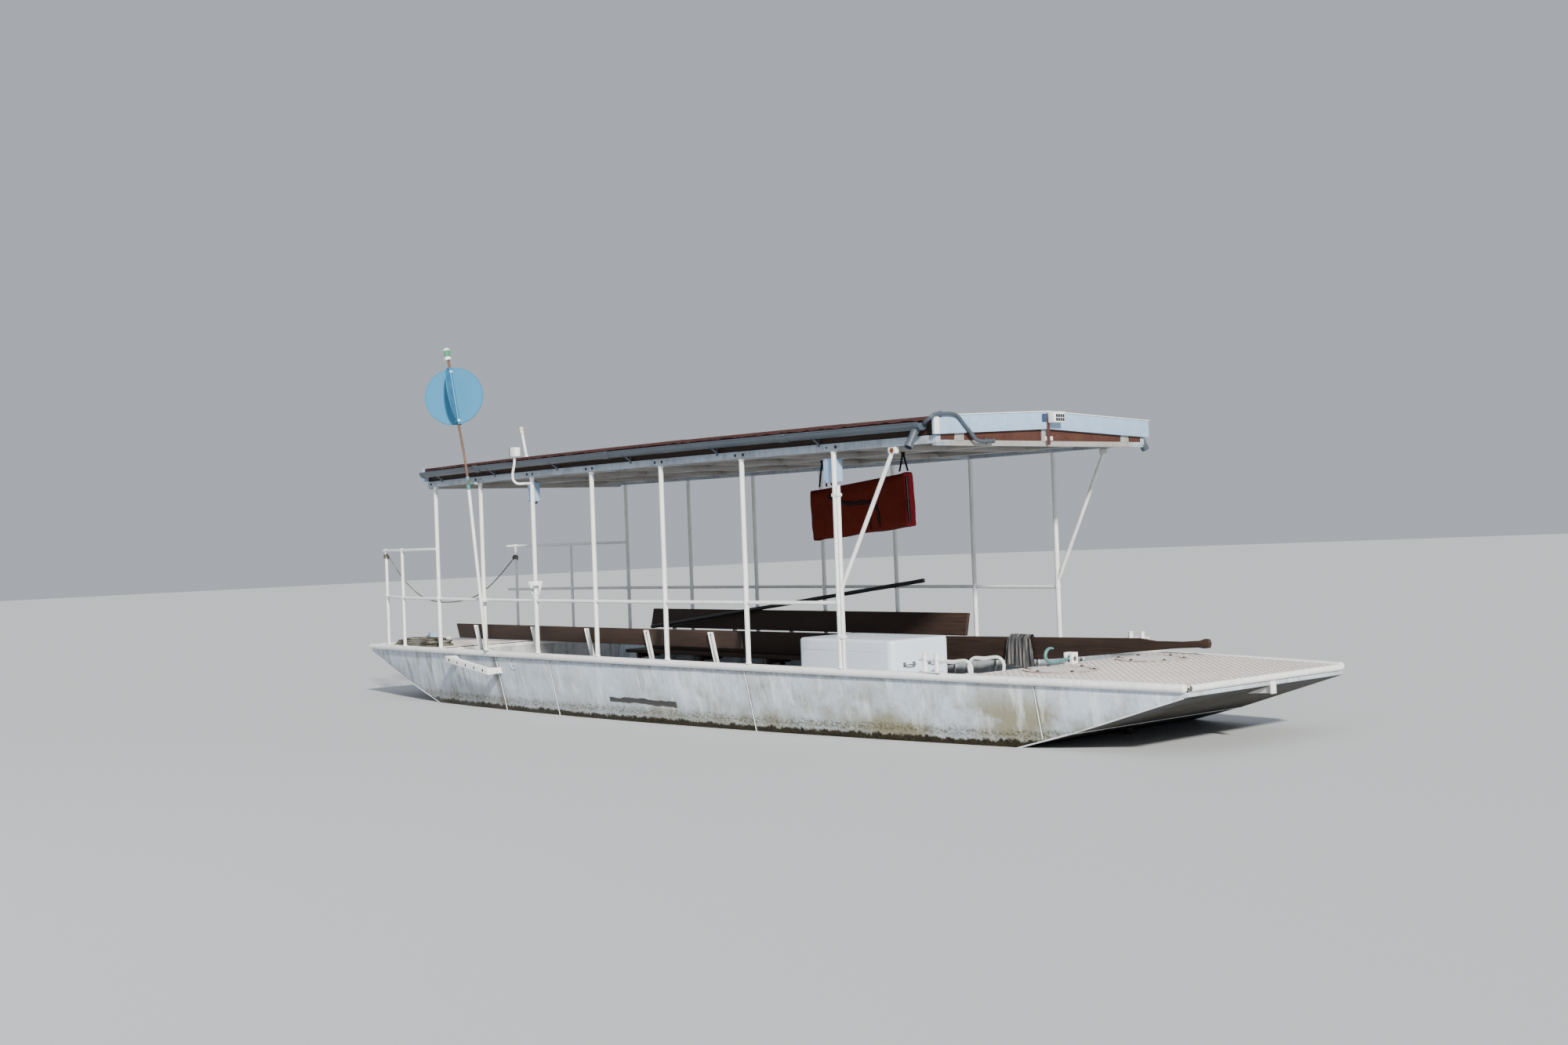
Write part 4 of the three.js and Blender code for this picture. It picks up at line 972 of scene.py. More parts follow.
RIB_X = [-3.3 + 0.53 * i for i in range(14)]
BOTTOM_PROFILE = ((0, 0), (3.05, 0), (4.8, 0.472), (5.74, 0.768))


def bottom_at(x):
    reach = min(abs(x), 5.74)
    for (x0, z0), (x1, z1) in zip(BOTTOM_PROFILE, BOTTOM_PROFILE[1:]):
        if reach <= x1:
            return z0 + (z1 - z0) * (reach - x0) / (x1 - x0)
    return BOTTOM_PROFILE[-1][1]


def build_hull():
    dress("hull", "hull_shell", "hull_paint", 0.004)

    chance = random.Random(4)
    beads = []
    for _, s in SIDES:
        for x in WELD_X:
            levels = spaced(bottom_at(x) + 0.02, sheer(x) - 0.034, 28)
            beads.append(tube([(x + chance.uniform(-0.0006, 0.0006), s * (side_plate(x, z) - 0.001), z)
                for z in levels], [0.0042 + chance.uniform(-0.0008, 0.0008) for _ in levels], 8))
        stations = spaced(-5.7, 5.7, 115)
        beads.append(tube([(x, s * (side_plate(x, bottom_at(x)) - 0.003), bottom_at(x) + 0.004) for x in stations],
            [0.0058 + chance.uniform(-0.001, 0.001) for _ in stations], 8))
    for x in (-4.8, 4.8):
        reach = side_plate(x, bottom_at(x)) - 0.01
        across = spaced(-reach, reach, 61)
        beads.append(tube([(x, y, bottom_at(x) + 0.001) for y in across],
            [0.005 + chance.uniform(-0.0009, 0.0009) for _ in across], 8))
    # The beads get the lighter weld paint, a painted highlight along them
    gather(beads, "hull_weld_beads", "weld_paint", slot="hull_paint", angle=60)

    ribs = []
    for _, s in SIDES:
        for x in RIB_X:
            inner = [(s * (side_plate(x, z) - 0.0395), z) for z in (0.335, 0.8)]
            outline = [*inner, *((y - s * 0.022, z) for y, z in reversed(inner))]
            ribs.append(plate(outline, x - 0.006, x + 0.006, 0.002))
        low, high = 0.56, 0.582
        corners = ((0.0395, low), (0.058, low), (0.058, high), (0.0395, high), (0.0395, low))
        ribs.append(close(skin([[(x, s * (side_plate(x, z) - inset), z) for inset, z in corners]
            for x in spaced(-3.6, 3.8, 26)])))
    gather(ribs, "hull_ribs", "inner_paint", slot="hull_paint")

    x, z = -2.041, 0.759
    y = -side_plate(x, z)
    ring = torus((x, y - 0.0005, z), (pi / 2 + atan(FLARE), 0, 0), 0.052, 0.0045)
    dot = turned((x, y + 0.002, z), (x, y - 0.01, z - 0.002), [(0, 0.014), (0.004, 0.014), (0.006, 0.009)], 20)
    gather([ring, dot], "hull_plug", "hull_paint", angle=60)

    for side, s in SIDES:
        stations = spaced(-5.7, 5.7, 96)
        line = [(x, s * half_width(x), sheer(x)) for x in stations]
        radii = [GUNWALE_R + 0.0006 + chance.uniform(-0.0003, 0.0003) for _ in line]
        parts = [tube(line, radii, 28)]
        for x, y, z in (line[0], line[-1]):
            sign = 1 if x > 0 else -1
            parts.append(turned((x - sign * 0.004, y, z), (x + sign * 0.1, y, z),
                [(0, 0.0306), (0.02, 0.0306), (0.029, 0.0275), (0.035, 0.021), (0.038, 0.01)], 28))
        gather(parts, "gunwale_tube_" + side, "white_paint", replaces=["gunwale_" + side])


class FERRY_OT_hull(Operator):
    """Dresses the hull with weld beads, inner ribs, gunwale tubes and their rounded ends"""

    bl_idname = "ferry.hull"
    bl_label = "Hull"

    def execute(self, context):
        build_hull()
        return {"FINISHED"}


# End decks

DECK_SLOPE = 0.018803
DECK_TOP = 0.875
DECKS = (
    # node, sign of X, inner edge
    ("bow_deck", -1, 3.74),
    ("stern_deck", 1, 3.98),
)
DECK_TIP = 5.735
LOZENGE = 0.033
LOZENGE_SHAPE = ((-0.013, 0), (-0.006, -0.0042), (0.006, -0.0042), (0.013, 0), (0.006, 0.0042), (-0.006, 0.0042))


def deck_top(sign, inner, x):
    return DECK_TOP - DECK_SLOPE * (sign * x - inner)


def deck_half(x):
    return half_width(x) - GUNWALE_R - 0.004


def lozenges(sign, inner):
    """Raised lozenges in rows, each turned against its neighbours, trimmed to the deck."""
    along, across = round((DECK_TIP - inner) / LOZENGE / 2), round(deck_half(inner) / LOZENGE)
    patterns = []
    for odd_x, odd_y in ((0, 0), (0, 1), (1, 0), (1, 1)):
        one = polygon([(u, v, -0.0005) for u, v in LOZENGE_SHAPE])
        edit("FACE")
        extrude((0, 0, 0.0021))
        bpy.ops.transform.resize(value=(0.72, 0.5, 1), center_override=(0, 0, 0.0016))
        leave()
        close(one)
        turn = Matrix.Rotation(radians(45 if odd_x == odd_y else -45), 3, "Z")
        start = Vector((sign * (inner + 0.02 + odd_x * LOZENGE), (odd_y - across) * LOZENGE, 0))
        for vertex in one.data.vertices:
            vertex.co = start + turn @ vertex.co
        each = len(one.data.vertices)
        for count, step in ((along, (sign * 2 * LOZENGE, 0, 0)), (across, (0, 2 * LOZENGE, 0))):
            modify(one, "ARRAY", count=count, use_relative_offset=False, use_constant_offset=True,
                constant_offset_displace=step)
        vertices = one.data.vertices
        middles = [sum((v.co for v in vertices[k:k + each]), Vector()) / each for k in range(0, len(vertices), each)]
        for vertex in vertices:
            vertex.co.z += deck_top(sign, inner, middles[vertex.index // each].x)

        def off_deck(vertex):
            x, y, _ = middles[vertex.index // each]
            covered = sign > 0 and hypot(x - COVER_X, abs(y) - COVER_Y) < COVER_R + 0.012
            return covered or abs(x) > DECK_TIP - 0.025 or abs(y) > deck_half(x) - 0.018

        select(one, "VERT", off_deck)
        bpy.ops.mesh.delete(type="VERT")
        leave()
        patterns.append(one)
    return join(*patterns)


def build_decks():
    for node, sign, inner in DECKS:
        dress(node, node + "_plate", "deck_paint", 0.002)
        reach = deck_half(DECK_TIP) - 0.004
        tube([(sign * DECK_TIP, y, 0.824) for y in spaced(-reach, reach, 40)], 0.0247, 28)
        settle(node + "_end_bar", "white_paint", slot="deck_paint")
        edge = sign * (inner + 0.006)
        reach = deck_half(edge) - 0.01
        top = deck_top(sign, inner, edge)
        block(about(edge, 0.006), (-reach, reach), (top - 0.05, top + 0.001), 0.003)
        settle(node + "_edge", "white_paint")
        lozenges(sign, inner)
        settle(node + "_lozenges", "deck_paint", angle=20)
    for side, s in SIDES:
        top = deck_top(1, 3.98, COVER_X) + 0.0004
        up = Vector((DECK_SLOPE, 0, 1)).normalized()
        foot = Vector((COVER_X, s * COVER_Y, top))
        turned(foot, foot + up, [(0, 0.2785), (0.007, 0.279), (0.0088, 0.277), (0.0088, 0.234), (0.0072, 0.2325),
            (0.0072, 0.03), (0.0072, 0.01)], 64)
        settle("deck_cover_disc_" + side, "cover_paint", slot="deck_paint", replaces=["deck_cover_" + side])
        ring = [(0.254 * cos(radians(a)), 0.254 * sin(radians(a))) for a in range(30, 360, 60)]
        bolts([foot + up * 0.0086 + Vector((u, v, -DECK_SLOPE * u)) for u, v in ring], up, 0.011, 0.01, 1.5,
            name="deck_cover_bolts_" + side)


class FERRY_OT_decks(Operator):
    """Lays the checker plate of both end decks, with its raised lozenges and its end bar"""

    bl_idname = "ferry.decks"
    bl_label = "End Decks"

    def execute(self, context):
        build_decks()
        return {"FINISHED"}


# Passenger well

SEAT_X = (-3.2, 1.62)
SEAT_TOP = 0.73
ON_FLOOR = 0.3006
SEAT_PLANKS = ((0.85, 0.958), (0.966, 1.074), (1.082, 1.19))
LEG_X = (-3, -1.88, -0.76, 0.36, 1.42)
BAR_X = (-2.81, -1.74, -0.81, 0.13, 1.06)
BAR_LEAN = 0.2222


def bar_face(z):
    return 1.194 + BAR_LEAN * (z - 0.69)


def build_well():
    dress("floor", "floor_base", "floor_paint", 0.002)
    boards = []
    for i in range(11):
        low = -1.155 + 0.21 * i
        boards.append(block((-3.68, 3.82), (low, low + 0.204), (0.2985, 0.3035), 0.002))
    for board in boards:
        for vertex in board.data.vertices:
            limit = side_plate(vertex.co.x, 0.3) - 0.055
            vertex.co.y = max(-limit, min(limit, vertex.co.y))
    gather(boards, "floor_boards", "floor_paint")

    for node, face, inner in (("bulkhead_bow", -3.7445, -3.7325), ("bulkhead_stern", 3.9845, 3.9725)):
        stiffeners = [block((face, inner), about(y, 0.02), (0.42, 0.8), 0.002) for y in (-0.75, -0.25, 0.25, 0.75)]
        gather([copy_of(node), *stiffeners], node + "_plate", "inner_paint", slot="hull_paint", replaces=[node])

    for side, s in SIDES:
        planks = [block(SEAT_X, (s * near, s * far), (0.692, SEAT_TOP), 0.006, 3) for near, far in SEAT_PLANKS]
        for x in LEG_X:
            planks += [block(about(x, 0.018), (s * 0.88, s * 0.925), (ON_FLOOR, 0.692), 0.004),
                block(about(x, 0.018), (s * 1.055, s * 1.1), (ON_FLOOR, 0.692), 0.004),
                block(about(x, 0.019), (s * 0.87, s * 1.18), (0.64, 0.691), 0.004)]
        gather(planks, "bench_planks_" + side, "dark_wood", replaces=["bench_" + side])
        bolts([(x, s * y, SEAT_TOP - 0.001) for x in LEG_X for y in (0.904, 1.02, 1.136)], UP, 0.006, 0.004,
            name="bench_bolts_" + side)

        dress("bench_bars_" + side, "bench_channels_" + side, "white_paint", 0.0018)
        bolts([(x, s * (bar_face(z) + 0.0052), z) for x in BAR_X for z in (1.118, 0.76)], (0, s, -BAR_LEAN), 0.009,
            0.008, name="bench_bar_bolts_" + side)

        low, high = {"port": (1, 1.15), "starboard": (0.955, 1.165)}[side]
        back = round_edges(copy_of("back_board_" + side), 0.005, 3)
        for vertex in back.data.vertices:
            vertex.co.z += 0.002 * sin(vertex.co.x * 2.1)
        settle("back_board_plank_" + side, "dark_wood", replaces=["back_board_" + side])
        bolts([(x, s * (bar_face(z) - 0.0355), z) for x in BAR_X for z in (low + 0.035, high - 0.035)],
            (0, -s, BAR_LEAN), 0.006, 0.004, name="back_board_bolts_" + side)

    dress("long_board", "long_board_plank", "dark_wood", 0.006, 3)

    start, end = Vector((-2.95, 1.048, 0.9745)), Vector((0.98, 1.4195, 1.463))
    ways = [start.lerp(end, i / 30) for i in range(31)]
    shaft = tube(ways, [0.0205 + 0.0012 * sin(i * 1.7) for i in range(31)], 20)
    ahead = (end - start).normalized()
    shoe = turned(start, start + ahead, [(-0.002, 0.012), (0.012, 0.0222), (0.13, 0.0222), (0.132, 0.021)], 20)
    gather([shaft, shoe], "push_pole_shaft", "pole_black", replaces=["push_pole"])


class FERRY_OT_well(Operator):
    """Fits the passenger well: floor boards, bulkheads, benches with bars and boards, the pole"""

    bl_idname = "ferry.well"
    bl_label = "Passenger Well"

    def execute(self, context):
        build_well()
        return {"FINISHED"}


# Posts and rails

POST_R = 0.021
POST_TOP = 2.6
RAIL_Z, RAIL_R = 1.404, 0.016
GATE_RAIL_Z = 1.935
GATE_LINE = ((-5.6, 0.845), (-5.47, 0.88), (-4.635, 1.13), (-3.64, 1.2473))
BRACE = ((2.745, 1.48), (3.345, 2.6), 0.017)
DOUBLER_X, DOUBLER_TOP = 2.765, 2.33


def gunwale_top(x):
    return sheer(x) + GUNWALE_R + 0.0003


def build_posts():
    for side, s in SIDES:
        parts = []
        for x in POST_X:
            y = s * half_width(x)
            foot = gunwale_top(x)
            parts += [rod((x, y, foot), (x, y, POST_TOP - 0.001), POST_R, 28),
                upright((x, y, foot), [(0, 0.0265), (0.006, 0.0262), (0.012, 0.0228), (0.016, 0.0212)], 28),
                upright((x, y, RAIL_Z - 0.024), [(0, 0.0215), (0.003, 0.0235), (0.045, 0.0235), (0.048, 0.0215)], 28),
                upright((x, y, POST_TOP - 0.022), [(0, 0.0213), (0.006, 0.0245), (0.0205, 0.025)], 28)]
        if side == "port":
            y = s * half_width(DOUBLER_X)
            parts.append(rod((DOUBLER_X, y, gunwale_top(DOUBLER_X)), (DOUBLER_X, y, DOUBLER_TOP), 0.017, 24, 0.003))
            parts += [block((2.704, 2.786), about(y, 0.0245), (z, z + 0.028), 0.008, 3) for z in (1.12, 2.24)]
        stations = spaced(POST_X[0], POST_X[-1], 40)
        parts.append(tube([(x, s * half_width(x), RAIL_Z) for x in stations], RAIL_R, 20))
        (low_x, low_z), (high_x, high_z), r = BRACE
        low = Vector((low_x, s * half_width(low_x), low_z))
        high = Vector((high_x, s * half_width(high_x), high_z - 0.022))
        parts += [rod(low, high, r, 24), block(about(high_x, 0.045), about(high.y, 0.02), (2.545, 2.5985), 0.01, 3)]
        gather(parts, "post_tubes_" + side, "white_paint", replaces=["post_frame_" + side])
        bolts([(high_x + 0.004, high.y + s * 0.0195, 2.57)], (0, s, 0), 0.015, 0.012, 1.3)
        settle("brace_bolt_" + side, "rusty_bolt", slot="bare_steel")
        line = [(x, s * y) for x, y in GATE_LINE]
        line[-1] = (-3.6612, line[-1][1])
        rails = []
        for z in (RAIL_Z, GATE_RAIL_Z):
            rails.append(tube([(x, y, z) for x, y in line], RAIL_R, 20))
            end = Vector((*line[0], z))
            out = (end - Vector((*line[1], z))).normalized()
            rails += [turned(end, end + out, [(-0.002, 0.0158), (0.004, 0.015), (0.009, 0.011), (0.011, 0.004)], 20),
                turned((-3.69, line[-1][1] - s * 0.0002, z), (-3.6, line[-1][1], z),
                [(0, 0.0162), (0.004, 0.0185), (0.026, 0.019)], 20)]
        for x, y, foot in ((-5.47, s * 0.88, 0.8428), (-4.635, s * 1.13, gunwale_top(-4.635))):
            rails += [rod((x, y, foot), (x, y, GATE_RAIL_Z), 0.017, 24),
                upright((x, y, foot), [(0, 0.03), (0.005, 0.03), (0.007, 0.0215), (0.013, 0.0172)], 24)]
            rails += [upright((x, y, z - 0.02), [(0, 0.0172), (0.003, 0.019), (0.037, 0.019), (0.04, 0.0172)], 24)
                for z in (RAIL_Z, GATE_RAIL_Z)]
        gather(rails, "gate_rail_tubes_" + side, "white_paint", replaces=["gate_rail_" + side])


class FERRY_OT_posts(Operator):
    """Stands the roof posts on the gunwales, with their middle rail, collars and braces"""

    bl_idname = "ferry.posts"
    bl_label = "Posts and Rails"

    def execute(self, context):
        build_posts()
        return {"FINISHED"}


# Roof

ROOF_HALF = 3.78
EAVE_TOP = 2.795
RIDGE_RISE = 0.055
SHEET_THICK = 0.03
FASCIA_HIGH = 2.8
# Open between the purlins, as far as the eaves
BAYS = ((None, -1.055), (-0.945, -0.055), (0.055, 0.945), (1.055, None))


def roof_edge(x):
    return half_width(x) + 0.045


def sheet_top(x, y):
    return EAVE_TOP + RIDGE_RISE * (1 - abs(y) / roof_edge(x))


def build_roof():
    dress("roof_frame", "roof_beams", "beam_paint", 0.003, slot="light_blue_paint")
    for side, s in SIDES:
        bolts([(x + dx, s * (half_width(x) + 0.0252), 2.63) for x in POST_X for dx in (-0.05, 0.05)], (0, s, 0),
            0.008, 0.006, name="roof_beam_bolts_" + side)

    # Lining boards between the purlins, close under the sheet
    boards = []
    for (low, high), count in zip(BAYS, (3, 6, 6, 3)):
        for i in range(count):
            rows = []
            for x in spaced(-3.765, 3.765, 13):
                edge = roof_edge(x) - 0.024
                start, end = low or -edge, high or edge
                near, far = (start + (end - start) * k / count for k in (i, i + 1))
                a, b = ((y, sheet_top(x, y) - SHEET_THICK - 0.0012) for y in (near + 0.002, far - 0.002))
                rows.append([(x, *a), (x, *b), (x, b[0], b[1] - 0.014), (x, a[0], a[1] - 0.014), (x, *a)])
            boards.append(close(skin(rows)))
    gather(boards, "roof_lining", "board_brown", slot="roof_felt")

    # Felt in strips laid across, each lapping over the one before
    dress("roof_sheet", "roof_deck", "roof_felt", 0.003)
    chance = random.Random(11)
    strips = []
    laps = 8
    for i in range(laps):
        start = -3.792 + 7.584 * i / laps
        end = min(3.792, start + 7.584 / laps + 0.045)
        rows = []
        for k, x in enumerate(spaced(start, end, 9)):
            edge = roof_edge(min(abs(x), ROOF_HALF)) + 0.006
            lift = 0.0045 * (k / 8) + 0.002
            row = []
            for y in spaced(-edge, edge, 25):
                wave = 0.0015 * sin(y * 13 + i * 2.1) + chance.uniform(-0.0004, 0.0004)
                row.append((x, y, EAVE_TOP + RIDGE_RISE * (1 - abs(y) / (edge - 0.006)) + lift + wave + 0.001))
            rows.append(row)
        strips.append(thicken(skin(rows), 0.003, 1))
    gather(strips, "roof_felt_strips", "roof_felt", angle=50)

    trims = []
    for _, s in SIDES:
        rows = []
        for x in spaced(-3.785, 3.785, 190):
            edge = s * (roof_edge(min(abs(x), ROOF_HALF)) + 0.0065)
            drop = 0.012 + chance.uniform(0, 0.013)
            rows.append([(x, edge - s * 0.03, EAVE_TOP + 0.0065), (x, edge, EAVE_TOP + 0.0055),
                (x, edge + s * 0.0015, EAVE_TOP - drop)])
        trims.append(thicken(skin(rows), 0.0014, 0))
    gather(trims, "roof_edge_trim", "reddish_trim", slot="roof_felt", angle=50)

    for node, face in (("fascia_bow", -1), ("fascia_stern", 1)):
        dress(node, node + "_board", "light_blue_paint", 0.004, 3)
        edge = roof_edge(ROOF_HALF) + 0.02
        out, low, high = edge + 0.004, FASCIA_HIGH - 0.001, FASCIA_HIGH + 0.007
        outline = [(-out, low), (0, low + RIDGE_RISE), (out, low), (out, high), (0, high + RIDGE_RISE), (-out, high)]
        cap = plate(outline, *sorted((face * 3.7805, face * 3.8125)), 0.002)
        end = block((face * 3.8045, face * 3.812), (-edge - 0.003, -edge + 0.052), (2.6645, 2.8), 0.004, 3)
        gather([cap, end], node + "_trim", "white_paint", slot="light_blue_paint")
        gaps = []
        for low, high in BAYS:
            across = ((low or -1.25) + 0.002, (high or 1.25) - 0.002)
            gaps.append(block((face * 3.764, face * 3.779), across, (2.6255, 2.716), 0.003))
        gather(gaps, node + "_backing", "board_brown", slot="roof_felt")

    # Eaves boards between the side beams and the lining, darker than the end boards as painted shade under the
    # gutters
    eaves = []
    for _, s in SIDES:
        rows = []
        for x in spaced(-3.74, 3.74, 40):
            outer, inner = s * (half_width(x) + 0.004), s * (half_width(x) - 0.012)
            top = sheet_top(x, outer) - SHEET_THICK - 0.0165
            rows.append([(x, outer, 2.6605), (x, inner, 2.6605), (x, inner, top), (x, outer, top),
                (x, outer, 2.6605)])
        eaves.append(close(skin(rows)))
    gather(eaves, "roof_eaves_boards", "dark_wood", slot="roof_felt")


class FERRY_OT_roof(Operator):
    """Builds the roof: frame, lining boards, felt strips, fascia boards and their trims"""

    bl_idname = "ferry.roof"
    bl_label = "Roof"

    def execute(self, context):
        build_roof()
        return {"FINISHED"}


# Gutters and the cable pipe

GUTTER_R, GUTTER_Z, GUTTER_HALF = 0.052, 2.752, 3.72
SPOUT_X, SPOUT_OUT, SPOUT_LOW = 3.66, 0.088, 2.572
HALF_ROUND = spaced(pi, 2 * pi, 17)
STRAP_X = (-3.4, -2.2, -1, 0.2, 1.4, 2.6)
PIPE_X = 3.8196
PIPE_ACROSS = (
    # y, z on the fascia
    (-1.34, 2.79), (-1.3, 2.81), (-1.23, 2.815), (-1.11, 2.816), (-1.055, 2.8),
    (-0.99, 2.742), (-0.9, 2.66), (-0.862, 2.626), (-0.82, 2.614), (-0.671, 2.616),
)
PIPE_LINE = ((3.74, -1.334, 2.751), (3.775, -1.345, 2.764), *((PIPE_X, y, z) for y, z in PIPE_ACROSS))


def gutter_middle(x):
    return roof_edge(x) + 0.002 + GUTTER_R


def trough(s, start, end, radius, wall, count):
    rows = [[(x, s * gutter_middle(x) + radius * cos(a), GUTTER_Z + radius * sin(a)) for a in HALF_ROUND]
        for x in spaced(start, end, count)]
    return thicken(skin(rows), wall, 0)


def build_gutters():
    for side, s in SIDES:
        parts = [trough(s, -GUTTER_HALF, GUTTER_HALF, GUTTER_R - 0.002, 0.003, 40)]
        for rim in (-1, 1):
            stations = spaced(-GUTTER_HALF, GUTTER_HALF, 40)
            parts.append(tube([(x, s * gutter_middle(x) + rim * (GUTTER_R - 0.001), GUTTER_Z + 0.001)
                for x in stations], 0.0052, 10))
        for x in (-2.4, -0.05, 2.3):
            parts.append(trough(s, x - 0.055, x + 0.055, GUTTER_R + 0.0022, 0.004, 3))
            for rim in (-1, 1):
                y = s * gutter_middle(x) + rim * (GUTTER_R + 0.001)
                parts.append(block(about(x, 0.055), about(y, 0.0065), (2.745, 2.76), 0.003))
        for sign in (-1, 1):
            x = sign * GUTTER_HALF
            y = s * gutter_middle(x)
            radius = GUTTER_R + 0.002
            outline = [(y + radius * cos(a), GUTTER_Z + radius * sin(a)) for a in HALF_ROUND]
            parts += [plate(outline, *sorted((x - sign * 0.003, x + sign * 0.005)), 0.002),
                trough(s, *sorted((x - sign * 0.04, x)), radius, 0.004, 2)]
        y = gutter_middle(SPOUT_X)
        top = Vector((SPOUT_X, s * y, 2.712))
        end = Vector((SPOUT_X, s * (y + SPOUT_OUT), SPOUT_LOW))
        length = (end - top).length
        parts.append(turned(top, end, [(0, 0.0335), (0.03, 0.0335), (0.033, 0.03), (length - 0.034, 0.03),
            (length - 0.032, 0.0335), (length, 0.0335), (length, 0.0285), (0.045, 0.027)], 28))
        for x in STRAP_X:
            near, far, middle = half_width(x) + 0.0255, half_width(x) + 0.0305, gutter_middle(x)
            outline = [(s * y, z) for y, z in ((near, 2.64), (near, 2.705), (far, 2.705), (far, 2.668),
                (middle - 0.018, 2.7005), (middle - 0.014, 2.6965), (far, 2.662), (far, 2.64))]
            parts += [plate(outline, x - 0.011, x + 0.011, 0.001),
                trough(s, x - 0.01, x + 0.01, GUTTER_R + 0.001, 0.003, 2)]
        gather(parts, "gutter_trough_" + side, "gutter_plastic", replaces=["gutter_" + side], angle=40)

    line = smooth_line(PIPE_LINE, 5)
    sleeves = [tube(line, 0.014, 20)]
    for index in (18, 40):
        a, b = line[index], line[index + 1]
        sleeves.append(rod(a - (b - a) * 0.8, b + (b - a) * 0.8, 0.0162, 20, 0.002))
    end = line[-1]
    sleeves.append(turned(end + Vector((0, -0.012, 0)), end + Vector((0, 1, 0)),
        [(0, 0.0175), (0.022, 0.0175), (0.024, 0.013), (0.024, 0.0115)], 20))
    gather(sleeves, "cable_pipe_tube", "gutter_plastic", replaces=["cable_pipe"])
    clips = []
    for y, z in ((-1.23, 2.815), (-0.945, 2.7), (-0.735, 2.615)):
        clips += [block((3.8064, 3.812), about(y, 0.008), about(z, 0.024), 0.002),
            rod((PIPE_X, y - 0.006, z), (PIPE_X, y + 0.006, z), 0.0168, 20, 0.001)]
    gather(clips, "cable_pipe_clips", "gutter_plastic")

    # Lamp on the peak of the stern fascia
    block((3.8056, 3.8116), (-0.018, 0.014), (2.59, 2.84), 0.0015)
    settle("peak_lamp_bar", "reddish_trim", slot="white_paint")
    housing = block((3.812, 3.883), (-0.01, 0.122), (2.764, 2.85), 0.008, 3)
    hood = block((3.812, 3.885), (-0.012, 0.124), (2.844, 2.852), 0.003)
    foot = block((3.806, 3.813), (0, 0.112), (2.77, 2.845), 0.002)
    gather([housing, hood, foot], "peak_lamp_housing", "white_paint", replaces=["peak_lamp"])
    panes = [block((3.8822, 3.8842), (0.006 + 0.027 * i, 0.029 + 0.027 * i), (low, low + 0.026), 0.001)
        for i in range(4) for low in (2.776, 2.806)]
    gather(panes, "peak_lamp_panes", "dark_glass", slot="white_paint")
    block((3.8122, 3.815), (-0.075, -0.022), (2.775, 2.838), 0.002)
    settle("peak_lamp_flap", "navy_plastic", slot="white_paint")
    block((3.765, 3.799), (-0.014, 0.062), (2.6265, 2.66), 0.004)
    settle("peak_lamp_junction", "white_paint")


class FERRY_OT_gutters(Operator):
    """Hangs the half-round gutters with beads, end caps, collars, straps and hollow spouts"""

    bl_idname = "ferry.gutters"
    bl_label = "Gutters"

    def execute(self, context):
        build_gutters()
        return {"FINISHED"}


# Signals, lamps and boxes on the port side

MAST_FOOT = Vector((-2.483, -1.39, 0.892))
MAST_KNEE = Vector((-2.497, -1.53, 2.654))
STICK_TOP = Vector((-2.798, -1.53, 3.86))
STICK_AXIS = (STICK_TOP - MAST_KNEE).normalized()
SIGN_R = 0.3
SIGN_FROM, SIGN_TO = 0.555, 1.157


def on_stick(past):
    return MAST_KNEE + STICK_AXIS * past


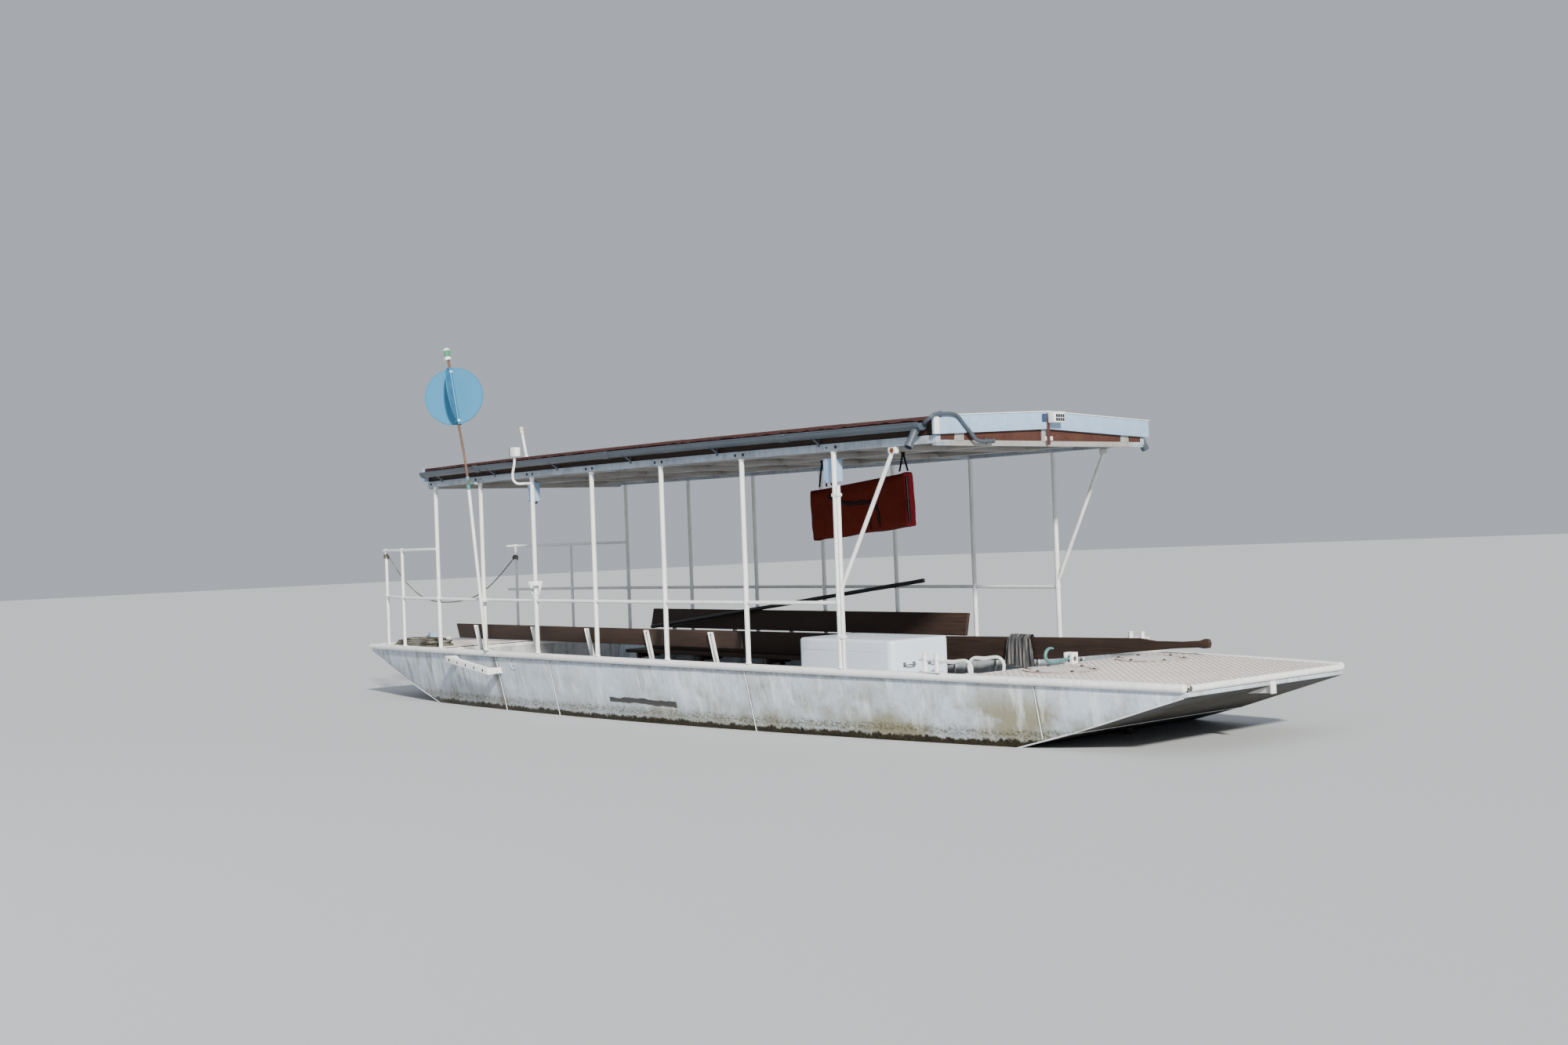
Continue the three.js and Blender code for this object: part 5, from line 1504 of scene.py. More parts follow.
def build_signals():
    parts = [rod(MAST_FOOT, MAST_KNEE, 0.017, 24, 0.002)]
    stay = ((-2.497, -1.525, 2.588), (-2.5625, -1.3635, 2.588))
    parts += [rod(*stay, 0.011, 16), block((-2.51, -2.47), (-1.435, -1.365), (1.385, 1.425), 0.006, 3),
        block((-2.508, -2.458), (-1.408, -1.345), (0.8935, 0.904), 0.003),
        turned(MAST_FOOT + Vector((0, 0, 0.01)), MAST_KNEE, [(0, 0.026), (0.008, 0.0255), (0.016, 0.0172)], 24)]
    gather(parts, "signal_mast_tube", "white_paint", replaces=["signal_mast"])
    bolts([(x, y, 0.9035) for y in (-1.4, -1.354) for x in (-2.5, -2.466)], UP, 0.005, 0.005,
        name="signal_mast_bolts")
    chance = random.Random(7)
    wraps = []
    for i in range(9):
        low = MAST_KNEE - (MAST_KNEE - MAST_FOOT).normalized() * (0.002 + 0.014 * i)
        wraps.append(turned(low, MAST_FOOT, [(0, 0.0176), (0.002, 0.0192), (0.015, 0.019), (0.0165, 0.0176)], 20))
    for i in range(6):
        low = Vector(stay[0]).lerp(Vector(stay[1]), 0.1 + 0.07 * i)
        wraps.append(turned(low, stay[1], [(0, 0.0116), (0.002, 0.0135), (0.012, 0.0132), (0.0135, 0.0116)], 18))
    gather(wraps, "signal_mast_tape", "tape", slot="teal_paint")

    along = spaced(-0.075, (STICK_TOP - MAST_KNEE).length, 40)
    side = STICK_AXIS.orthogonal().normalized()
    line = [on_stick(a) + side * 0.0028 * sin(a * 7) for a in along]
    tube(line, [0.0125 + 0.0011 * sin(a * 23) + chance.uniform(-0.0005, 0.0005) for a in along], 18)
    settle("signal_stick", "stick_wood", slot="white_paint")

    discs = [turned(on_stick(SIGN_FROM), on_stick(2), [(0, 0.0215), (0.004, 0.0222), (0.598, 0.0222),
        (0.602, 0.0215)])]
    centre = on_stick((SIGN_FROM + SIGN_TO) / 2)
    up = Vector(UP).rotation_difference(STICK_AXIS)
    for angle in (0.744, 0.744 + pi / 2):
        normal = up @ Vector((cos(angle), -sin(angle), 0))
        across = normal.cross(STICK_AXIS)
        profile = [(0, SIGN_R - 0.0015), (0.0015, SIGN_R), (0.0065, SIGN_R), (0.008, SIGN_R - 0.0015)]
        discs.append(turned(centre - normal * 0.004, centre + normal, profile, 96))
        for face in (-0.0036, 0.0036):
            angles = [2 * pi * k / 96 for k in range(97)]
            ring = [cos(t) * STICK_AXIS + sin(t) * across for t in angles]
            discs.append(tube([centre + normal * face + (SIGN_R - 0.008) * spoke for spoke in ring], 0.0022, 8))
    gather(discs, "signal_disc_pair", "sign_paint", replaces=["signal_discs"])
    clamp = [(0, 0.0222), (0.001, 0.0245), (0.019, 0.0245), (0.02, 0.0222)]
    rings = [turned(on_stick(past), on_stick(2), clamp) for past in (SIGN_FROM + 0.03, SIGN_TO - 0.05)]
    gather(rings, "signal_disc_clamps", "white_paint", slot="sign_paint")

    top = (STICK_TOP - MAST_KNEE).length + 0.0003
    turned(on_stick(top), on_stick(2), [(0, 0.026), (0.004, 0.033), (0.02, 0.035), (0.026, 0.036), (0.03, 0.031),
        (0.034, 0.03)], 28)
    settle("signal_lamp_collar", "white_paint", slot="lamp_plastic", replaces=["signal_lamp"])
    ribs = [(0.034, 0.0305)]
    for i in range(9):
        ribs += [(0.037 + 0.0075 * i, 0.0325), (0.0408 + 0.0075 * i, 0.0305)]
    turned(on_stick(top), on_stick(2), ribs, 32)
    settle("signal_lamp_lens", "green_lens", slot="lamp_plastic")
    turned(on_stick(top), on_stick(2), [(0.1, 0.03), (0.1035, 0.036), (0.11, 0.036), (0.118, 0.033), (0.124, 0.026),
        (0.1285, 0.016), (0.1345, 0.012), (0.135, 0.006)], 28)
    settle("signal_lamp_cap", "white_paint", slot="lamp_plastic")


class FERRY_OT_signals(Operator):
    """Raises the leaning signal mast with its crossed discs and lamp"""

    bl_idname = "ferry.signals"
    bl_label = "Signal Mast"

    def execute(self, context):
        build_signals()
        return {"FINISHED"}


LAMP_ARM = ((-1.51, -1.4234, 2.542), (-1.516, -1.48, 2.542), (-1.546, -1.548, 2.544), (-1.57, -1.574, 2.578),
    (-1.576, -1.576, 2.64), (-1.55, -1.575, 2.715), (-1.53, -1.574, 2.81))
WHIP_FOOT, WHIP_TOP = Vector((-1.593, -1.4, 2.802)), Vector((-1.659, -1.4, 3.043))
HOLDER_X = -1.51
BOXES = (
    # node, x, y, z
    ("junction_box_stern", (2.58, 2.722), (-1.307, -1.225), (2.356, 2.546)),
    ("junction_box_bow", (-1.62, -1.515), (-1.38, -1.31), (2.366, 2.556)),
)


def build_lamps():
    line = smooth_line(LAMP_ARM, 6)
    arm = tube(line, 0.012, 20)
    clamp = turned((-1.51, -1.401, 2.542), (-1.51, -1.5, 2.542), [(0, 0.02), (0.02, 0.02), (0.024, 0.013)], 20)
    nut = turned((-1.53, -1.5745, 2.792), (-1.529, -1.574, 2.9),
        [(0, 0.012), (0.002, 0.018), (0.01, 0.018), (0.0115, 0.012)], 20)
    gather([arm, clamp, nut], "work_lamp_arm", "white_paint", replaces=["work_lamp"])
    body = block((-1.57, -1.475), (-1.605, -1.545), (2.802, 2.888), 0.006, 3)
    fins = [block((-1.562 + 0.014 * i, -1.557 + 0.014 * i), (-1.604, -1.546), (2.886, 2.8905), 0.001)
        for i in range(6)]
    gather([body, *fins], "work_lamp_housing", "white_paint")
    block((-1.58, -1.569), (-1.6055, -1.5445), (2.8015, 2.8885), 0.003)
    settle("work_lamp_rim", "black_rubber", slot="white_paint")
    block((-1.5815, -1.579), (-1.5985, -1.5515), (2.8085, 2.8815), 0.001)
    settle("work_lamp_glass", "dark_glass", slot="lamp_plastic")

    high = (WHIP_TOP - WHIP_FOOT).length
    stick = turned(WHIP_FOOT, WHIP_TOP, [(0, 0.02), (0.012, 0.019), (0.02, 0.0136), (high - 0.012, 0.0132)], 24)
    foot = block((-1.625, -1.561), (-1.432, -1.368), (2.796, 2.8045), 0.003)
    gather([stick, foot], "whip_stick", "white_paint", replaces=["whip_stub"])
    head = ((-0.012, 0.016), (-0.01, 0.02), (0.03, 0.02), (0.032, 0.028), (0.036, 0.029), (0.04, 0.028),
        (0.041, 0.0205), (0.05, 0.0205), (0.056, 0.018), (0.058, 0.012))
    turned(WHIP_FOOT, WHIP_TOP, [(high + past, radius) for past, radius in head], 28)
    settle("whip_head", "cream_plastic", slot="white_paint")
    bolts([(-1.593 + dx, -1.4 + dy, 2.8042) for dx in (-0.024, 0.024) for dy in (-0.024, 0.024)], UP, 0.004, 0.004,
        name="whip_bolts")

    y = -half_width(HOLDER_X)
    deselect()
    bpy.ops.mesh.primitive_cylinder_add(vertices=64, radius=0.0755, depth=0.04, end_fill_type="NOTHING",
        location=(HOLDER_X, y, 1.572))
    hoop = round_edges(thicken(active(), 0.005, 0), 0.0015)
    gather([round_edges(copy_of("ring_holder"), 0.001, 1, 60), hoop], "ring_holder_bars", "white_paint",
        replaces=["ring_holder"], angle=40)

    for node, x, y_limits, z in BOXES:
        case = block(x, y_limits, z, 0.01, 3)
        lid_y = (y_limits[0] - 0.0015, y_limits[0] + 0.018)
        lid = block((x[0] - 0.003, x[1] + 0.003), lid_y, (z[0] - 0.003, z[1] + 0.003), 0.006, 3)
        ears = [block((sum(x) / 2 - 0.012, sum(x) / 2 + 0.012), (y_limits[1] - 0.01, y_limits[1] - 0.004),
            (low, low + 0.026), 0.003) for low in (z[0] - 0.022, z[1] - 0.004)]
        gather([case, lid, *ears], node + "_shell", "box_plastic", slot="light_blue_paint", replaces=[node])
        bolts([(px, y_limits[0] - 0.0012, pz) for px in (x[0] + 0.012, x[1] - 0.012)
            for pz in (z[0] + 0.012, z[1] - 0.012)], (0, -1, 0), 0.0042, 0.0022, 1.05, name=node + "_screws")
        middle = (sum(x) / 2, sum(y_limits) / 2)
        glands = [turned((middle[0] + dx, middle[1], z[0] + 0.002), (middle[0] + dx, middle[1], 0),
            [(0, 0.01), (0.012, 0.01), (0.013, 0.0078), (0.024, 0.007), (0.025, 0.004)], 12)
            for dx in (-0.026, 0, 0.026)]
        glands.append(upright((middle[0], middle[1], z[1] - 0.002),
            [(0, 0.013), (0.014, 0.013), (0.016, 0.009), (0.022, 0.008)], 16))
        gather(glands, node + "_glands", "black_rubber", slot="light_blue_paint")


class FERRY_OT_lamps(Operator):
    """Fits the work lamp, the whip stub, the ring holder and the junction boxes"""

    bl_idname = "ferry.lamps"
    bl_label = "Lamps and Boxes"

    def execute(self, context):
        build_lamps()
        return {"FINISHED"}


# Engine, its hood and the helmsman's seat

HOOD_BOW, HOOD_STERN = 1.113, 2.306
HOOD_HALF = 0.353
HOOD_Z = (0.305, 1.031)
HOOD_WALL = 0.02


def shell(x, half, z, corner, crown):
    """An upside-down tray: a block with round corners and a round brim, open below."""
    piece = block(x, (-half, half), z)
    select(piece, "EDGE", lambda a, b: abs(a.z - b.z) > 0.01)
    bpy.ops.mesh.bevel(offset=corner, segments=8, affect="EDGES")
    leave()
    select(piece, "EDGE", lambda a, b: min(a.z, b.z) > z[1] - 0.001)
    bpy.ops.mesh.bevel(offset=crown, segments=6, affect="EDGES")
    leave()
    select(piece, "FACE", lambda face: face.normal.z < -0.9)
    bpy.ops.mesh.delete(type="FACE")
    leave()
    return thicken(piece, HOOD_WALL if crown > 0.02 else 0.006)


def build_engine():
    shell((HOOD_BOW, HOOD_STERN), HOOD_HALF, HOOD_Z, 0.06, 0.028)
    settle("hood_shell", "hood_plastic", "hood", replaces=["engine_hood"], angle=40)
    grown = 0.0045
    rim = shell((HOOD_BOW - grown, HOOD_STERN + grown), HOOD_HALF + grown, (0.3125, 0.3545), 0.063, 0.004)
    select(rim, "FACE", lambda face: (abs(face.normal.z) > 0.9 and face.center.z > 0.33
        and abs(face.center.y) < HOOD_HALF - 0.012 and HOOD_BOW + 0.012 < face.center.x < HOOD_STERN - 0.012))
    bpy.ops.mesh.delete(type="FACE")
    leave()
    settle("hood_rim", "hood_plastic", "hood", angle=40)
    parts = []
    for y in (-0.15, 0.15):
        x = HOOD_STERN
        grip = [(x + out, y + across, 0.815) for out, across in ((0.002, -0.056), (0.03, -0.054), (0.04, -0.03),
            (0.04, 0.03), (0.03, 0.054), (0.002, 0.056))]
        parts += [block((x - 0.002, x + 0.004), (y - 0.072, y - 0.04), (0.795, 0.835), 0.002),
            block((x - 0.002, x + 0.004), (y + 0.04, y + 0.072), (0.795, 0.835), 0.002),
            tube(smooth_line(grip, 6), 0.006, 14)]
    gather(parts, "hood_handles", "bare_steel", "hood")
    latch = [block((HOOD_STERN - 0.002, HOOD_STERN + 0.007), (-0.022, 0.022), (0.352, 0.412), 0.003),
        block((HOOD_STERN + 0.005, HOOD_STERN + 0.013), (-0.01, 0.01), (0.345, 0.4), 0.003)]
    gather(latch, "hood_latch", "bare_steel", "hood")
    hinges = []
    for y in (-0.24, 0.24):
        hinges += [rod((HOOD_BOW - 0.002, y - 0.035, 0.319), (HOOD_BOW - 0.002, y + 0.035, 0.319), 0.0055, 16, 0.001),
            block((HOOD_BOW - 0.0065, HOOD_BOW - 0.003), about(y, 0.034), (0.32, 0.36), 0.001)]
    gather(hinges, "hood_hinges", "bare_steel", "hood")
    # Vent slots as dark strips standing proud of the stern face, painted shade standing in for the openings
    slots = [block((HOOD_STERN - 0.003, HOOD_STERN + 0.0012), (-0.27, 0.27), (low, low + 0.014), 0.004)
        for low in (0.455, 0.49, 0.525)]
    gather(slots, "hood_vents", "black_rubber", "hood", slot="hood_plastic")
    seams = [block((HOOD_BOW + 0.07, HOOD_STERN - 0.07), about(s * HOOD_HALF, 0.002), (0.93, 0.936), 0.0015)
        for s in (-1, 1)]
    seams += [block(about(x, 0.002), (-0.29, 0.29), (0.93, 0.936), 0.0015) for x in (HOOD_STERN, HOOD_BOW)]
    gather(seams, "hood_seam", "hood_plastic", "hood")

    middle = 0.58
    parts = [block((1.4, 1.86), (-0.135, 0.135), (0.44, 0.7), 0.012, 3),
        block((1.38, 1.88), (-0.11, 0.11), (0.347, 0.442), 0.02, 3),
        block((1.405, 1.855), (-0.105, 0.105), (0.698, 0.76), 0.008, 3),
        turned((1.858, 0, middle), (2, 0, middle), [(0, 0.15), (0.02, 0.172), (0.08, 0.172), (0.1, 0.12)], 40)]
    parts += [block((1.42 + 0.148 * i, 1.548 + 0.148 * i), (-0.085, 0.085), (0.756, 0.802), 0.012, 3)
        for i in range(3)]
    gather(parts, "engine_block", "engine_paint", slot="engine_iron", replaces=["engine"])
    parts = [turned((1.4, 0, 0.5), (1, 0, 0.5), [(0, 0.06), (0.02, 0.095), (0.032, 0.09), (0.044, 0.095),
        (0.06, 0.095), (0.062, 0.03), (0.085, 0.03)], 40), *(turned((1.4, y, z), (1, y, z),
        [(0, 0.02), (0.036, r), (0.046, r - 0.006), (0.056, r), (0.062, 0.015)], 32)
        for y, z, r in ((0.12, 0.65, 0.046), (-0.02, 0.69, 0.055)))]
    gather(parts, "engine_pulleys", "engine_iron")
    loop = [(1.353, y, z) for y, z in ((0.093, 0.485), (0.164, 0.64), (0.15, 0.686), (0.11, 0.696), (0, 0.748),
        (-0.045, 0.738), (-0.074, 0.7), (-0.093, 0.52), (-0.07, 0.434), (0, 0.405), (0.07, 0.434), (0.093, 0.485))]
    tube(smooth_line(loop, 5), 0.006, 8)
    settle("engine_belt", "black_rubber", slot="engine_iron")
    parts = [block((1.43, 1.56), (0.105, 0.185), (0.59, 0.7), 0.015, 3)]
    for i in range(3):
        x = 1.47 + 0.148 * i
        parts += [upright((x, -0.06, 0.76), [(0, 0.014), (0.032, 0.014), (0.034, 0.009), (0.052, 0.009)], 12),
            tube(smooth_line([(x, -0.06, 0.806), (x, -0.1, 0.812), (x, -0.14, 0.78), (1.56 + 0.02 * i, -0.15, 0.66)],
            6), 0.0035, 8)]
    parts += [block((1.52, 1.64), (-0.18, -0.13), (0.56, 0.665), 0.01, 3),
        rod((1.7, -0.165, 0.45), (1.7, -0.165, 0.56), 0.038, 28, 0.006),
        rod((1.43, 0.08, 0.772), (1.7, 0.08, 0.772), 0.03, 24, 0.008)]
    gather(parts, "engine_fittings", "engine_iron")
    parts = []
    for y in (-0.17, 0.17):
        parts.append(block((1.2, 2.06), about(y, 0.028), (ON_FLOOR, 0.3555), 0.004))
        parts += [block(about(x, 0.035), (y * 0.7, y * 1.12), (0.357, 0.4), 0.006) for x in (1.45, 1.8)]
    gather(parts, "engine_bearers", "engine_iron")


class FERRY_OT_engine(Operator):
    """Moulds the hinged hood and builds the diesel engine on its bearers"""

    bl_idname = "ferry.engine"
    bl_label = "Engine and Hood"

    def execute(self, context):
        build_engine()
        return {"FINISHED"}


HELM_X, HELM_Y = (2.4, 2.82), (0.06, 0.5)


def build_helm_seat():
    rows = []
    for u in spaced(0, 1, 25):
        row = []
        for v in spaced(0, 1, 25):
            edge = min(u, 1 - u, v, 1 - v)
            dish = -0.026 * (sin(pi * u) * sin(pi * v)) ** 0.6
            lip = -0.03 * max(0, 1 - edge / 0.06) ** 2
            x = HELM_X[0] + 0.003 + (HELM_X[1] - HELM_X[0] - 0.006) * u
            y = HELM_Y[0] + 0.003 + (HELM_Y[1] - HELM_Y[0] - 0.006) * v
            row.append((x, y, 0.698 + dish + lip))
        rows.append(row)
    pan = thicken(skin(rows), 0.005, -1)
    ribs = [block((2.47 + 0.055 * i, 2.474 + 0.055 * i), (0.085, 0.475), (0.648, 0.668), 0.001) for i in range(6)]
    legs = []
    for x in (2.44, 2.78):
        legs += [upright((x, y, 0.3005), [(0, 0.023), (0.01, 0.023), (0.012, 0.0195), (0.34, 0.0215), (0.375, 0.024)],
            20) for y in (0.1, 0.46)]
    arms = []
    for y in (0.078, 0.482):
        route = smooth_line([(2.42, y, 0.68), (2.408, y, 0.77), (2.46, y, 0.822), (2.6, y, 0.826), (2.76, y, 0.838),
            (2.812, y, 0.79), (2.8, y, 0.68)], 8)
        arms.append(tube(route, [0.0135 + 0.0045 * exp(-((p.x - 2.61) / 0.11) ** 2) * (p.z > 0.8) for p in route],
            16))
    gather([pan, *ribs, *legs, *arms], "helm_seat_shell", "white_paint", replaces=["helm_seat"], angle=45)


class FERRY_OT_helm_seat(Operator):
    """Moulds the helmsman's seat with its dished pan, ribs, legs and looped arms"""

    bl_idname = "ferry.helm_seat"
    bl_label = "Helm Seat"

    def execute(self, context):
        build_helm_seat()
        return {"FINISHED"}


# Deck fittings

BOLLARD_X = 3.634
BOLLARD_POSTS = (-0.061, 0.061)
BOLLARD_BAR_Z = 0.977
HOOK_PIN = (4.05, -0.125, 0.917)


def build_fittings():
    for side, s in SIDES:
        y = s * half_width(BOLLARD_X)
        foot = gunwale_top(BOLLARD_X)
        parts = [block(about(BOLLARD_X, 0.11), about(y, 0.028), (foot, foot + 0.008), 0.002)]
        for dx in BOLLARD_POSTS:
            x = BOLLARD_X + dx
            high = 1.03 - foot
            parts.append(upright((x, y, foot), [(0.006, 0.0245), (0.012, 0.0205), (0.016, 0.019),
                (high - 0.012, 0.019), (high - 0.01, 0.0225), (high - 0.003, 0.0225), (high, 0.019)], 28))
        bar = rod((BOLLARD_X - 0.126, y, BOLLARD_BAR_Z), (BOLLARD_X + 0.13, y, BOLLARD_BAR_Z), 0.01, 20, 0.003)
        parts += [turned((BOLLARD_X + dx - 0.026, y, BOLLARD_BAR_Z), (9, y, BOLLARD_BAR_Z),
            [(0, 0.0102), (0.004, 0.0135), (0.048, 0.0135), (0.052, 0.0102)], 20) for dx in BOLLARD_POSTS]
        gather([*parts, bar], "bollard_body_" + side, "white_paint", replaces=["bollard_" + side])
        bolts([(BOLLARD_X + dx, y + dy, foot + 0.0078) for dx in (-0.098, 0.098) for dy in (-0.017, 0.017)], UP,
            0.0045, 0.004, name="bollard_bolts_" + side)

    block_piece = round_edges(copy_of("fairlead"), 0.007, 3, 60)
    lips = [torus((-5.27, y, 0.9169), (pi / 2, 0, 0), 0.0205, 0.0035, 40) for y in (-0.465, -0.395)]
    base = block((-5.318, -5.222), (-0.478, -0.382), (0.847, 0.856), 0.002)
    gather([block_piece, base, *lips], "fairlead_block", "light_blue_paint", slot="white_paint",
        replaces=["fairlead"])
    bolts([(-5.27 + dx, -0.43 + dy, 0.8558) for dx in (-0.042, 0.042) for dy in (-0.042, 0.042)], UP, 0.0045, 0.004,
        name="fairlead_bolts")

    dress("side_step", "side_step_bar", "white_paint", 0.004, 3)
    treads, dots = [], []
    for i in range(15):
        x = -3.23 + 0.062 * i
        z = 0.785 + (0.69 - 0.785) * (x + 3.28) / 0.96 + 0.03
        y = -(half_width(x) + 0.1)
        treads.append(block(about(x, 0.006), about(y, 0.024), (z - 0.001, z + 0.0035), 0.0012))
    for i in range(5):
        x = -3.18 + 0.19 * i
        z = 0.785 + (0.69 - 0.785) * (x + 3.28) / 0.96
        dots.append((x, -(half_width(x) + 0.1295), z))
    gather(treads, "side_step_treads", "white_paint")
    bolts(dots, (0, -1, 0), 0.0075, 0.005, name="side_step_bolts")

    dress("stern_knee", "stern_knee_plate", "white_paint", 0.002)

    dress("hook_clevis", "hook_clevis_block", "white_paint", 0.003)
    bolts([(4.0895, *HOOK_PIN[1:])], (1, 0, 0), 0.011, 0.009)
    settle("hook_clevis_nut", "bare_steel")
    line = smooth_line([(HOOK_PIN[0], y, z) for y, z in ((-0.14, 0.917), (-0.2, 0.914), (-0.28, 0.906),
        (-0.345, 0.902), (-0.395, 0.915), (-0.424, 0.95), (-0.412, 0.99), (-0.372, 1.012), (-0.33, 1.008))], 6)
    count = len(line)
    radii = [0.0128 if i < count * 0.75 else 0.0128 - 0.006 * (i / count - 0.75) / 0.25 for i in range(count)]
    claw = tube(line, radii, 20)
    eye = torus(HOOK_PIN, (0, pi / 2, 0), 0.0158, 0.0068, 36, 14)
    eye.scale = (1, 1, 1.75)
    gather([claw, eye], "tow_hook_claw", "teal_paint", "hook", replaces=["tow_hook"], angle=60)

    # Small plate on the bow deck
    block((-4.82, -4.62), (-0.564, -0.556), (0.86, 0.939), 0.002)
    settle("bow_plate", "white_paint")


class FERRY_OT_fittings(Operator):
    """Fits bollards, fairlead, side step, stern knee and tow hook"""

    bl_idname = "ferry.fittings"
    bl_label = "Deck Fittings"

    def execute(self, context):
        build_fittings()
        return {"FINISHED"}


def build_stern_gear():
    for node, material, body, rounding in (("stern_tube", "hull_paint", "boat", 0.0015),
        ("propeller_shaft", "bare_steel", "screw", 0.001), ("rudder_trunk", "hull_paint", "boat", 0.001)):
        dress(node, node + "_piece", material, rounding, 2, 60, body=body, angle=45)
    dress("propeller", "propeller_blades", "bronze", 0.0015, 2, 60, body="screw", angle=45)
    blade = round_edges(copy_of("rudder"), 0.002, 2, 60)
    straps = [block((4.402, 4.62), (y, y + 0.004), (z, z + 0.03), 0.001) for y in (-0.0118, 0.0078)
        for z in (0.1, 0.25)]
    gather([blade, *straps], "rudder_blade_plate", "hull_paint", "rudder_blade", replaces=["rudder"], angle=45)


class FERRY_OT_stern_gear(Operator):
    """Dresses the tube, shaft, screw and rudder under the raked stern"""

    bl_idname = "ferry.stern_gear"
    bl_label = "Stern Gear"

    def execute(self, context):
        build_stern_gear()
        return {"FINISHED"}


# Soft goods

PAD_HALF = (0.8, 0.065, 0.25)
PAD_BANDS = (
    # reach to each side, points along and up the case
    (0.02, ((-0.42, 0.15), (-0.25, 0.085), (-0.085, 0.05), (0.15, 0.036), (0.3, 0.012),
        (0.362, -0.06), (0.37, -0.2))),
    (0.011, ((0.29, 0.005), (0.255, -0.04), (0.235, -0.11), (0.21, -0.205))),
)
PAD_STRAPS = (
    # node, x, y, foot
    ("pad_strap_bow", 1.15, -0.01, 2.388),
    ("pad_strap_stern", 2.4, -0.225, 2.467),
)


def build_hanging_pad(context):
    half = [size - drawn for size, drawn in zip(PAD_HALF, (0.009, 0.017, 0.009))]
    pad = block(*((-size, size) for size in half), 0.016, 3)
    pick(pad)
    pad.data.remesh_voxel_size = 0.010
    bpy.ops.object.voxel_remesh()
    before = [vertex.co.copy() for vertex in pad.data.vertices]
    cloth = pad.modifiers.new("stuffing", "CLOTH")
    cloth.settings.use_pressure = True
    cloth.settings.uniform_pressure_force = 4
    cloth.settings.effector_weights.gravity = 0
    scene = context.scene
    for frame_number in range(1, 21):
        scene.frame_set(frame_number)
    bpy.ops.object.modifier_apply(modifier=cloth.name)
    scene.frame_set(1)
    for vertex, start in zip(pad.data.vertices, before):
        move = vertex.co - start
        if move.length > 0.015:
            vertex.co = start + move.normalized() * 0.015
    for vertex in pad.data.vertices:
        u, v, w = vertex.co
        share = abs(w) / PAD_HALF[2]
        crease = 0.0022 * sin(u * 19 + w * 13) + 0.0016 * sin(u * 7 - w * 31 + 1)
        vertex.co = (u, v * (1 - 0.14 * share ** 6) + crease, w + 0.005 * sin(u * 9 + 1) * (w < 0) * share)
    modify(pad, "SUBSURF", levels=1, render_levels=1)

    def on_pad(start, way, lift=0.002):
        """The place where a line from outside first meets the pad, lifted off it."""
        _, place, _, _ = pad.ray_cast(Vector(start), Vector(way))
        return place - Vector(way) * lift

    bands = []
    for reach, points in PAD_BANDS:
        line = smooth_line([(u, 0, w) for u, w in points], 8)
        rows = []
        for i, point in enumerate(line):
            ahead = (line[min(i + 1, len(line) - 1)] - line[max(i - 1, 0)]).normalized()
            wide = reach * (1 + 0.25 * sin(i * 0.9))
            rows.append([on_pad((point.x - ahead.z * wide * k, -1, point.z + ahead.x * wide * k), (0, 1, 0))
                for k in (-1, -0.5, 0, 0.5, 1)])
        bands.append(thicken(skin(rows), 0.0025, 0))
    zip_at = -0.028
    tape = thicken(skin([[on_pad((2, zip_at + d, w), (-1, 0, 0)) for d in (-0.014, -0.005, 0.005, 0.014)]
        for w in spaced(-0.2, 0.2, 30)]), 0.002, 0)
    teeth = []
    for w in spaced(-0.195, 0.195, 66):
        place = on_pad((2, zip_at, w), (-1, 0, 0), 0.0035)
        teeth.append(block(about(place.x, 0.0015), about(place.y, 0.0035), about(place.z, 0.0018)))
    pipes = [tube([on_pad((u, 0, up), (0, 0, -up), 0) for u in spaced(-0.775, 0.775, 60)], 0.004, 10)
        for up in (-1, 1)]
    set_up = Matrix.Translation(PAD_CENTRE) @ PAD_TURN.to_matrix().to_4x4()
    for name, material, pieces, slot in (("pad_body", "red_cloth", [pad], None),
        ("pad_bands", "dark_band", bands, "red_cloth"), ("pad_zip_tape", "dark_band", [tape], "red_cloth"),
        ("pad_zip_teeth", "bare_steel", teeth, None), ("pad_piping", "dark_band", pipes, "red_cloth")):
        whole = join(*pieces)
        whole.matrix_world = set_up @ whole.matrix_world
        settle(name, material, slot=slot, replaces=["hanging_pad"] if name == "pad_body" else (), angle=180)

    for node, x, y, foot in PAD_STRAPS:
        top = 2.6175
        legs = []
        for dx in (-0.055, 0.055):
            rows = []
            for t in spaced(0, 1, 13):
                px = x + dx * (1 - t) * 0.9
                z = foot - 0.012 + (top - foot + 0.012) * t
                rows.append([(px - 0.0105, y, z), (px, y + 0.0006 * sin(t * 9), z), (px + 0.0105, y, z)])
            legs.append(thicken(skin(rows), 0.0026, 0))
        legs.append(block(about(x, 0.019), about(y, 0.006), (top - 0.02, top), 0.002))
        gather(legs, node + "_web", "webbing", replaces=[node])


class FERRY_OT_hanging_pad(Operator):
    """Stuffs the padded case, sews its bands and zip on, and hangs it on its straps"""

    bl_idname = "ferry.hanging_pad"
    bl_label = "Hanging Pad"

    def execute(self, context):
        build_hanging_pad(context)
        return {"FINISHED"}


